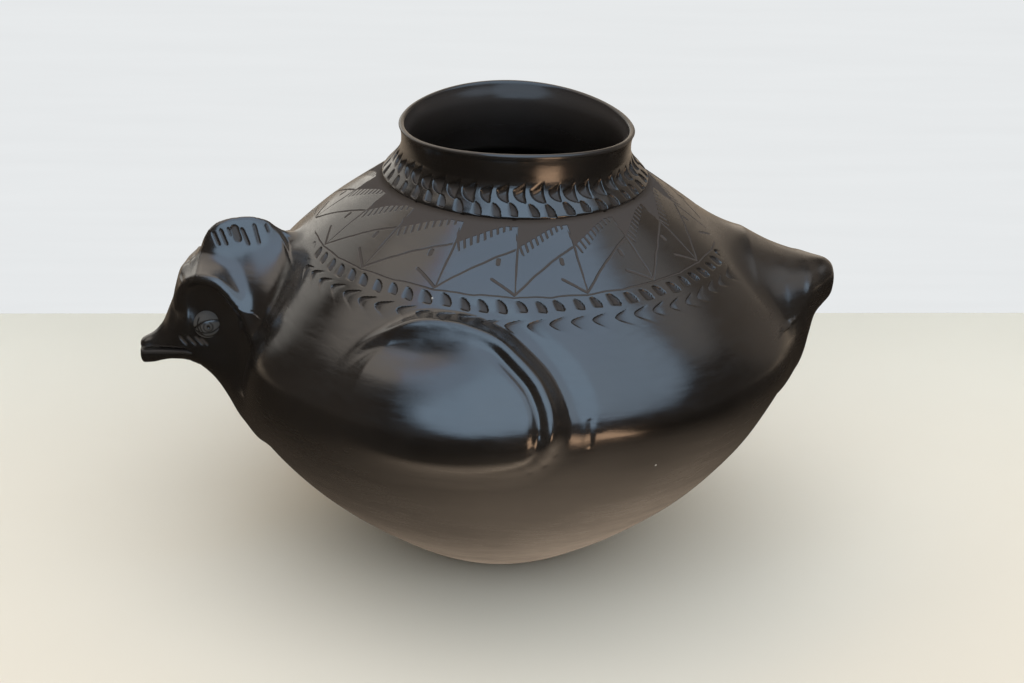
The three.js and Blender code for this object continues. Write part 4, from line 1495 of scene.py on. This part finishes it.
def burnish_group() -> bpy.types.NodeTree:
    """Make the marks of a smooth stone rubbed round the pot, the firing's clouds and the clay's grain."""
    inputs = {"Place": ("Vector", None), "Stretch": ("Float", 6.0)}
    pad, given, out = effect("stone_burnish", inputs, ("Clouds", "Streaks", "Height"))
    place = given.outputs["Place"]
    squash = pad.put("CombineXYZ", {0: 1.0, 1: 1.0, 2: given.outputs["Stretch"]})
    drawn = pad.vector("MULTIPLY", place, squash.outputs[0])
    clouds = pad.put("TexNoise", {"Vector": place, "Scale": 17.0, "Detail": 3.0, "Roughness": 0.55})
    broad = pad.put("TexNoise", {"Vector": drawn, "Scale": 24.0, "Detail": 2.0, "Roughness": 0.5})
    fine = pad.put("TexNoise", {"Vector": drawn, "Scale": 130.0, "Detail": 3.0, "Roughness": 0.6})
    grain = pad.put("TexNoise", {"Vector": place, "Scale": 900.0, "Detail": 2.0})
    streaks = pad.math("MULTIPLY_ADD", fine.outputs[0], 0.5, pad.math("MULTIPLY", broad.outputs[0], 0.5))
    rubs = pad.math("MULTIPLY_ADD", fine.outputs[0], 0.22, pad.math("MULTIPLY", broad.outputs[0], 0.9))
    height = pad.math("MULTIPLY_ADD", grain.outputs[0], 0.10, rubs)
    pad.give(pad.ramp(clouds.outputs[0], 0.35, 0.68), out, "Clouds")
    pad.give(pad.ramp(streaks, 0.36, 0.64), out, "Streaks")
    pad.give(height, out, "Height")
    return pad.tree


def speck_group() -> bpy.types.NodeTree:
    """Make small specks of pale dust and sand that lie apart from each other."""
    inputs = {"Place": ("Vector", None), "Size": ("Float", 0.1), "Share": ("Float", 0.9)}
    pad, given, out = effect("dust_specks", inputs, ("Mask",))
    cells = pad.put("TexVoronoi", {"Vector": given.outputs["Place"], "Scale": 95.0})
    near = pad.math("LESS_THAN", cells.outputs["Distance"], given.outputs["Size"])
    chance = pad.vector("DOT_PRODUCT", cells.outputs["Color"], (0.34, 0.33, 0.33))
    picked = pad.math("GREATER_THAN", chance, given.outputs["Share"])
    pad.give(pad.math("MULTIPLY", near, picked), out, "Mask")
    return pad.tree


def line_group() -> bpy.types.NodeTree:
    """Make a straight scratched line between two points."""
    inputs = {key: ("Vector", None) for key in ("Point", "From", "To")} | {"Half Width": ("Float", 0.4)}
    pad, given, out = effect("scratched_line", inputs, ("Mask",))
    ahead = pad.vector("SUBTRACT", given.outputs["To"], given.outputs["From"])
    away = pad.vector("SUBTRACT", given.outputs["Point"], given.outputs["From"])
    gone, whole = (pad.vector("DOT_PRODUCT", way, ahead) for way in (away, ahead))
    share = pad.put("Clamp", {"Value": pad.math("DIVIDE", gone, whole)}).outputs[0]
    scaled = pad.vector("SCALE", ahead, scale=share)
    gap = pad.vector("LENGTH", pad.vector("SUBTRACT", away, scaled))
    beyond = pad.math("SUBTRACT", gap, given.outputs["Half Width"])
    pad.give(pad.ramp(beyond, 0.18, -0.18), out, "Mask")
    return pad.tree


@dataclass(frozen=True)
class Frieze:
    """The scratched triangles on the shoulder, in degrees from an apex and millimetres of radius."""

    unit: float = 21.18
    slant: float = 1.264
    apex: float = 83.4
    foot: float = 57.4
    corner: tuple[float, float] = (0.7, 66.6)
    far_corner: tuple[float, float] = (20.1, 57.7)
    next_corner: tuple[float, float] = (21.9, 66.6)
    dot: tuple[float, float] = (16.0, 71.0)
    tick: tuple[float, float] = (14.7, 78.1)
    comb_teeth: int = 9
    tooth: float = 4.4
    half_width: float = 0.42
    top_ring: float = 84.3

    def flat(self, degrees: float, radius: float) -> tuple[float, float, float]:
        """Return a point laid flat: across, outwards down the slope, and 0."""
        angle = math.radians(degrees)
        return radius * math.sin(angle), radius * math.cos(angle) * self.slant, 0.0

    def mask(
        self, pad: NodePad, place: bpy.types.NodeSocket, lines: bpy.types.NodeTree
    ) -> bpy.types.NodeSocket:
        """Return how much of the surface is scratched.

        Args:
            pad: Where the nodes go.
            place: The piece's place, for the hand's wobble.
            lines: The group that scratches one line.

        Returns:
            A mask from 0 to 1.
        """
        layout = pad.put("SeparateXYZ", {0: pad.put("UVMap", uv_map="frieze").outputs[0]})
        wobble = pad.put("TexNoise", {"Vector": place, "Scale": 120.0, "Detail": 1.0})
        shake = pad.put("SeparateXYZ", {0: pad.vector("SUBTRACT", wobble.outputs["Color"], (0.5, 0.5, 0.5))})
        share = pad.math("FRACT", pad.math("MULTIPLY", layout.outputs[0], float(UV_UNITS)))
        angle = pad.math("MULTIPLY", share, math.radians(self.unit))
        sway, jog = (pad.math("MULTIPLY", shake.outputs[k], swing) for k, swing in ((1, 1.1), (0, 0.8)))
        radius = pad.math("MULTIPLY_ADD", layout.outputs[1], float(UV_RADIUS), jog)
        across = pad.math("MULTIPLY_ADD", radius, pad.math("SINE", angle), sway)
        down = pad.math("MULTIPLY", pad.math("MULTIPLY", radius, pad.math("COSINE", angle)), self.slant)
        point = pad.put("CombineXYZ", {0: across, 1: down, 2: 0.0}).outputs[0]
        strokes = (
            (self.corner, (0.0, self.apex), self.half_width),
            ((0.0, self.apex), self.next_corner, self.half_width),
            ((self.unit, self.apex), self.tick, 0.6),
            (self.dot, (self.dot[0], self.dot[1] + 1.4), 0.85),
            ((0.0, self.top_ring), (self.unit / 2, self.top_ring), 0.3),
            ((self.unit / 2, self.top_ring), (self.unit, self.top_ring), 0.3),
        )
        total: object = self.teeth(pad, point)
        for start, end, half in strokes:
            line = {"Point": point, "From": self.flat(*start), "To": self.flat(*end), "Half Width": half}
            total = pad.math("MAXIMUM", total, pad.group(lines, line).outputs[0])
        ring = pad.math("ABSOLUTE", pad.math("SUBTRACT", radius, self.foot))
        return pad.math("MAXIMUM", total, pad.ramp(ring, 1.35, 1.0))

    def teeth(self, pad: NodePad, point: bpy.types.NodeSocket) -> bpy.types.NodeSocket:
        """Return the filled triangle and the row of teeth on its slanting edge."""
        start, end = np.array(self.flat(*self.corner)), np.array(self.flat(*self.far_corner))
        length = float(np.linalg.norm(end - start))
        ahead = (end - start) / length
        outward = np.array([-ahead[1], ahead[0], 0.0])
        from_start = pad.vector("SUBTRACT", point, tuple(start))
        along = pad.vector("DOT_PRODUCT", from_start, tuple(ahead))
        beyond = pad.vector("DOT_PRODUCT", from_start, tuple(outward))
        left = pad.put("SeparateXYZ", {0: point}).outputs[0]
        filled = pad.math("MULTIPLY", pad.ramp(beyond, 0.3, -0.1), pad.ramp(left, 0.4, 0.9))
        filled = pad.math("MULTIPLY", filled, pad.ramp(along, length + 0.5, length))
        pitch = length / self.comb_teeth
        slanted = pad.math("MULTIPLY_ADD", beyond, 0.34, along)
        share = pad.math("FRACT", pad.math("DIVIDE", slanted, pitch))
        cell = pad.math("ABSOLUTE", pad.math("SUBTRACT", share, 0.5))
        tooth = pad.ramp(pad.math("MULTIPLY", cell, pitch), 0.62, 0.36)
        reach = pad.math("MULTIPLY_ADD", along, -0.5 * self.tooth / length, self.tooth)
        tooth = pad.math("MULTIPLY", tooth, pad.ramp(pad.math("SUBTRACT", beyond, reach), 0.2, -0.4))
        kept = pad.math("MULTIPLY", pad.ramp(along, -0.6, 0.4), pad.ramp(along, length, length - 1))
        tooth = pad.math("MULTIPLY", tooth, kept)
        return pad.math("MAXIMUM", filled, tooth)


@dataclass(frozen=True)
class Clay:
    """A finish of the black clay: stone-burnished all over, or matt where tools cut it."""

    name: str
    deep: tuple[float, float, float] = (0.0045, 0.0036, 0.003)
    light: tuple[float, float, float] = (0.012, 0.0098, 0.0082)
    cut: tuple[float, float, float] = (0.056, 0.047, 0.042)
    dust: tuple[float, float, float] = (0.36, 0.35, 0.33)
    polished: float = 0.3
    rubbed: float = 0.46
    matt: float = 0.75
    gloss: float = 0.12
    haze: float = 0.12
    relief: float = 0.00014
    frieze: Frieze | None = None

    def make(self, groups: dict[str, bpy.types.NodeTree]) -> bpy.types.Material:
        """Build the material from the shared effects."""
        material, pad, place = new_finish(self.name)
        burnish = pad.group(groups["burnish"], {"Place": place, "Stretch": 6.0})
        speck = pad.group(groups["speck"], {"Place": place, "Size": 0.045, "Share": 0.72})
        cut = pad.put("Attribute", attribute_name=ATTRIBUTE).outputs["Fac"]
        scratched: object = cut
        if self.frieze is not None:
            scratched = pad.math("MAXIMUM", cut, self.frieze.mask(pad, place, groups["line"]))
        colour = pad.blend(burnish.outputs["Clouds"], (*self.deep, 1), (*self.light, 1))
        colour = pad.blend(pad.math("POWER", scratched, 2.0), colour, (*self.cut, 1))
        colour = pad.blend(speck.outputs["Mask"], colour, (*self.dust, 1))
        streaks = burnish.outputs["Streaks"]
        sheen = pad.math("MULTIPLY_ADD", streaks, self.rubbed - self.polished, self.polished)
        gap = pad.math("SUBTRACT", self.matt, sheen)
        rough = pad.math("MULTIPLY_ADD", gap, scratched, sheen)
        rough = pad.math("MAXIMUM", rough, pad.math("MULTIPLY", speck.outputs["Mask"], 0.8))
        height = pad.math("SUBTRACT", burnish.outputs["Height"], pad.math("MULTIPLY", scratched, 0.9))
        bump = pad.put("Bump", {"Height": height, "Strength": 1.0, "Distance": self.relief})
        skin = pad.math("SUBTRACT", 1.0, pad.math("MAXIMUM", scratched, speck.outputs["Mask"]))
        surface = {
            "Base Color": colour, "Roughness": rough, "Coat Weight": skin,
            "Normal": bump.outputs[0], "Coat Normal": bump.outputs[0],
            "Coat Roughness": pad.math("MULTIPLY_ADD", streaks, self.haze, self.gloss),
        }
        shader = pad.put("BsdfPrincipled", surface)
        shader.inputs["IOR"].default_value = 1.4
        shader.inputs["Specular IOR Level"].default_value = 0.2
        shader.inputs["Coat IOR"].default_value = 1.8
        out = pad.put("OutputMaterial", {"Surface": shader.outputs[0]})
        out.is_active_output = True
        return material


@dataclass(frozen=True)
class Zone:
    """A soft round patch of light in the room, by the way that it lies from the pot."""

    toward: tuple[float, float]
    spread: float
    edge: float
    colour: tuple[float, float, float]


def heading(turn: float, rise: float) -> tuple[float, float, float]:
    """Return the direction at a turn from -Y towards +X and a rise over the horizon, in degrees."""
    around, up = math.radians(turn), math.radians(rise)
    return math.sin(around) * math.cos(up), -math.cos(around) * math.cos(up), math.sin(up)


def mottled(
    pad: NodePad, place: bpy.types.NodeSocket, colour: Sequence[float], scale: float, least: float
) -> bpy.types.NodeSocket:
    """Return a colour with soft clouds in it, the darkest at a share of the colour's own light."""
    clouds = pad.put("TexNoise", {"Vector": place, "Scale": scale, "Detail": 4.0})
    darker = tuple(least * part for part in colour)
    return pad.blend(clouds.outputs[0], (*darker, 1), (*colour, 1))


@dataclass
class Studio:
    """The pale floor and backdrop, the soft light and the camera."""

    floor_colour: tuple[float, float, float] = (0.72, 0.66, 0.55)
    wall_colour: tuple[float, float, float] = (0.82, 0.84, 0.85)
    background: tuple[float, float, float] = (0.84, 0.84, 0.83)
    wall_at: float = 0.247
    wall_height: float = 0.27
    room: float = 2.6
    # Glossy rays see the floor glow with painted light instead of its lit colour: a painted pool of light
    # round this middle and width, in the next colour, over a dim glow
    bench: tuple[float, float, float] = (0.045, -0.1, 0.115)
    bench_light: tuple[float, float, float] = (0.52, 0.41, 0.31)
    dim: tuple[float, float, float] = (0.035, 0.027, 0.02)
    # A painted glow on the floor far behind the pot, seen only in reflections
    far_floor_glow: tuple[float, float, float] = (0.3, 0.24, 0.18)
    shade: tuple[float, float, float] = (0.07, 0.056, 0.045)
    fill: tuple[float, float, float] = (0.55, 0.42, 0.27)
    zones: tuple[Zone, ...] = (
        Zone((12, 79), 29, 9, (1.02, 1.33, 1.74)),
        Zone((-165, 46), 22, 14, (1.0, 0.89, 0.78)),
        Zone((-163, 7), 12, 8, (1.08, 1.02, 0.92)),
        Zone((178, 10), 16, 9, (0.8, 0.68, 0.55)),
        Zone((-8, 42), 29, 8, (1.22, 1.66, 2.15)),
        Zone((43, 51), 28, 8, (1.05, 1.35, 1.7)),
        Zone((-108, 58), 15, 9, (1.0, 0.9, 0.8)),
        Zone((-147, 24), 17, 8, (0.78, 0.74, 0.68)),
        Zone((105, 50), 14, 12, (0.52, 0.49, 0.47)),
        Zone((130, 18), 20, 9, (0.2, 0.165, 0.135)),
        Zone((152, 8), 15, 9, (0.36, 0.3, 0.24)),
    )
    # A painted orange glow patch on the floor, seen only in reflections: its turn, spread, reach and colour
    glow_turn: float = 27.0
    glow_spread: tuple[float, float] = (14.0, 8.0)
    glow_reach: tuple[float, float] = (0.27, 0.36)
    glow: tuple[float, float, float] = (3.1, 2.0, 1.25)
    # The painted far glow rises between these distances behind the pot
    far_from: tuple[float, float] = (0.25, 0.5)
    lens: float = 82.97
    camera_right: tuple[float, float, float] = (0.9963863, -0.07909167, 0.03096536)
    camera_up: tuple[float, float, float] = (0.00170259, 0.38309227, 0.92370851)
    camera_ahead: tuple[float, float, float] = (0.08492024, 0.92031778, -0.38184255)
    camera_place: tuple[float, float, float] = (-0.080545, -0.920630, 0.468038)

    def backdrop_finish(self) -> bpy.types.Material:
        """Make the backdrop: plain and pale to the camera, and clear from behind."""
        material, pad, place = new_finish("pale_backdrop")
        tone = mottled(pad, place, self.wall_colour, 40.0, 0.94)
        lit = pad.put("BsdfDiffuse", {"Color": tone}).outputs[0]
        plain = pad.put("Emission", {"Color": tone, "Strength": 1.0}).outputs[0]
        path = pad.put("LightPath")
        front = pad.put("MixShader", {0: path.outputs["Is Camera Ray"], 1: lit, 2: plain}).outputs[0]
        clear = pad.put("BsdfTransparent").outputs[0]
        back = pad.put("NewGeometry").outputs["Backfacing"]
        unseen = pad.math("MAXIMUM", back, path.outputs["Is Glossy Ray"])
        whole = pad.put("MixShader", {0: unseen, 1: front, 2: clear}).outputs[0]
        pad.put("OutputMaterial", {"Surface": whole})
        return material

    def floor_finish(self) -> bpy.types.Material:
        """Make the floor: pale and lit to the camera; to glossy rays it glows with painted light instead: a
        pool near the pot, an orange patch in front, a glow behind and dim elsewhere.
        """
        material, pad, place = new_finish("pale_floor")
        tone = mottled(pad, place, self.floor_colour, 9.0, 0.955)
        pale = pad.put("BsdfDiffuse", {"Color": tone}).outputs[0]
        # Painted light for reflections: a pool of light near the pot, an orange glow patch in front and a
        # glow behind
        spread = pad.math("DIVIDE", pad.vector("DISTANCE", place, (*self.bench[:2], 0.0)), self.bench[2])
        near = pad.math("EXPONENT", pad.math("MULTIPLY", pad.math("MULTIPLY", spread, spread), -1.0))
        way = pad.vector("NORMALIZE", place)
        toward = pad.vector("DOT_PRODUCT", way, heading(self.glow_turn, 0))
        patch = pad.ramp(toward, *(math.cos(math.radians(angle)) for angle in self.glow_spread))
        patch = pad.math("MULTIPLY", patch, pad.ramp(pad.vector("LENGTH", place), *self.glow_reach))
        behind = pad.ramp(pad.put("SeparateXYZ", {0: place}).outputs[1], *self.far_from)
        light: object = self.dim
        for colour, share in ((self.bench_light, near), (self.glow, patch), (self.far_floor_glow, behind)):
            light = pad.vector("ADD", light, pad.vector("SCALE", colour, scale=share))
        # Glossy rays see this painted glow in place of the lit floor
        painted_floor_reflection = pad.put("Emission", {"Color": light, "Strength": 1.0}).outputs[0]
        hidden = pad.put("LightPath").outputs["Is Glossy Ray"]
        mixed = pad.put("MixShader", {0: hidden, 1: pale, 2: painted_floor_reflection}).outputs[0]
        pad.put("OutputMaterial", {"Surface": mixed})
        return material

    def stage(self) -> None:
        """Lay the floor and stand the backdrop on it."""
        bpy.ops.mesh.primitive_plane_add(size=2 * self.room, location=(0, 0, 0))
        floor = bpy.context.object
        floor.name = "floor"
        floor.data.materials.append(self.floor_finish())
        middle = (0, self.wall_at, self.wall_height / 2)
        bpy.ops.mesh.primitive_plane_add(size=1, location=middle, rotation=(math.pi / 2, 0, 0))
        wall = bpy.context.object
        wall.name = "backdrop"
        wall.scale = (2 * self.room, self.wall_height, 1)
        wall.data.materials.append(self.backdrop_finish())

    def light(self) -> None:
        """Fill the room with soft light: a cool sky overhead and in front, over a dim horizon."""
        world = bpy.data.worlds.new("studio")
        bpy.context.scene.world = world
        world.use_nodes = True
        pad = NodePad(world.node_tree)
        way = pad.put("TexCoord").outputs["Generated"]
        light: object = self.shade
        for zone in self.zones:
            near = pad.vector("DOT_PRODUCT", way, heading(*zone.toward))
            angles = (zone.spread + zone.edge, zone.spread - zone.edge / 2)
            mask = pad.ramp(near, *(math.cos(math.radians(angle)) for angle in angles))
            light = pad.vector("MAXIMUM", light, pad.vector("SCALE", zone.colour, scale=mask))
        path = pad.put("LightPath")
        filled = pad.vector("ADD", light, self.fill)
        light = pad.blend(path.outputs["Is Glossy Ray"], filled, light)
        shown = pad.blend(path.outputs["Is Camera Ray"], light, (*self.background, 1))
        back_light = pad.put("Background", {"Color": shown, "Strength": 1.0})
        pad.put("OutputWorld", {"Surface": back_light.outputs[0]})

    def camera(self) -> None:
        """Stand the camera where the photograph was taken from."""
        data = bpy.data.cameras.new("camera")
        data.lens, data.sensor_width = self.lens, 36
        camera = bpy.data.objects.new("camera", data)
        bpy.context.collection.objects.link(camera)
        axes = (self.camera_right, self.camera_up, [-part for part in self.camera_ahead], self.camera_place)
        rows = [[axis[i] for axis in axes] for i in range(3)] + [[0, 0, 0, 1]]
        camera.matrix_world = Matrix(rows)
        bpy.context.scene.camera = camera


@dataclass
class Pot:
    """The whole effigy pot."""

    vessel: Vessel = field(default_factory=Vessel)

    def finishes(self) -> dict[str, bpy.types.Material]:
        """Make the clay's finishes from the shared effects."""
        groups = {"burnish": burnish_group(), "speck": speck_group(), "line": line_group()}
        clays = {
            "burnished": Clay("burnished_black_clay"),
            "shoulder": Clay("burnished_and_scratched_clay", frieze=Frieze()),
            "plain": Clay("unburnished_black_clay", cut=(0.06, 0.057, 0.054), polished=0.42, rubbed=0.55),
        }
        return {name: clay.make(groups) for name, clay in clays.items()}

    def seat(
        self, piece: bpy.types.Object, node: str, finish: bpy.types.Material
    ) -> None:
        """Dress a finished piece and let it stand for its node."""
        piece.name = piece.data.name = node + "_worked"
        piece.data.materials.clear()
        piece.data.materials.append(finish)
        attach(piece, "root")
        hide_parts(node)
        log.info("%s: %d faces", piece.name, len(piece.data.polygons))

    def build(self) -> None:
        """Make every piece in order."""
        finish = self.finishes()
        wall = Wall(self.vessel)
        for ring in wall.rings():
            dress = finish["shoulder" if ring.node == "shoulder" else "burnished"]
            wall.build(ring, lambda piece: self.seat(piece, ring.node, dress))
        self.pair(WingPads(self.vessel).build(), "wing", finish["burnished"])
        head = Head(self.vessel)
        for piece, node in ((head.skull, "head"), (head.lower_bill, "lower_bill"), (head.comb, "comb")):
            self.seat(piece(), node, finish["burnished"])
        self.pair(head.brow(), "brow", finish["burnished"])
        self.pair(head.eyeball(), "eye", finish["plain"], "carved_clay")
        self.seat(Tail(self.vessel).build(), "tail", finish["burnished"])

    def pair(
        self, left: bpy.types.Object, name: str, finish: bpy.types.Material, slot: str = "burnished_clay"
    ) -> None:
        """Seat a left piece and its mirrored right one."""
        right = mirrored(left, name + "_right_worked")
        self.seat(left, name + "_left", finish)
        self.seat(right, name + "_right", finish)


def main() -> None:
    """Build the pot and its studio."""
    logging.basicConfig(level=logging.INFO, format="%(message)s")
    choose_none()
    scene = bpy.context.scene
    scene.view_settings.view_transform = "Standard"
    studio = Studio()
    studio.stage()
    studio.light()
    studio.camera()
    Pot().build()


if __name__ == "__main__":
    main()
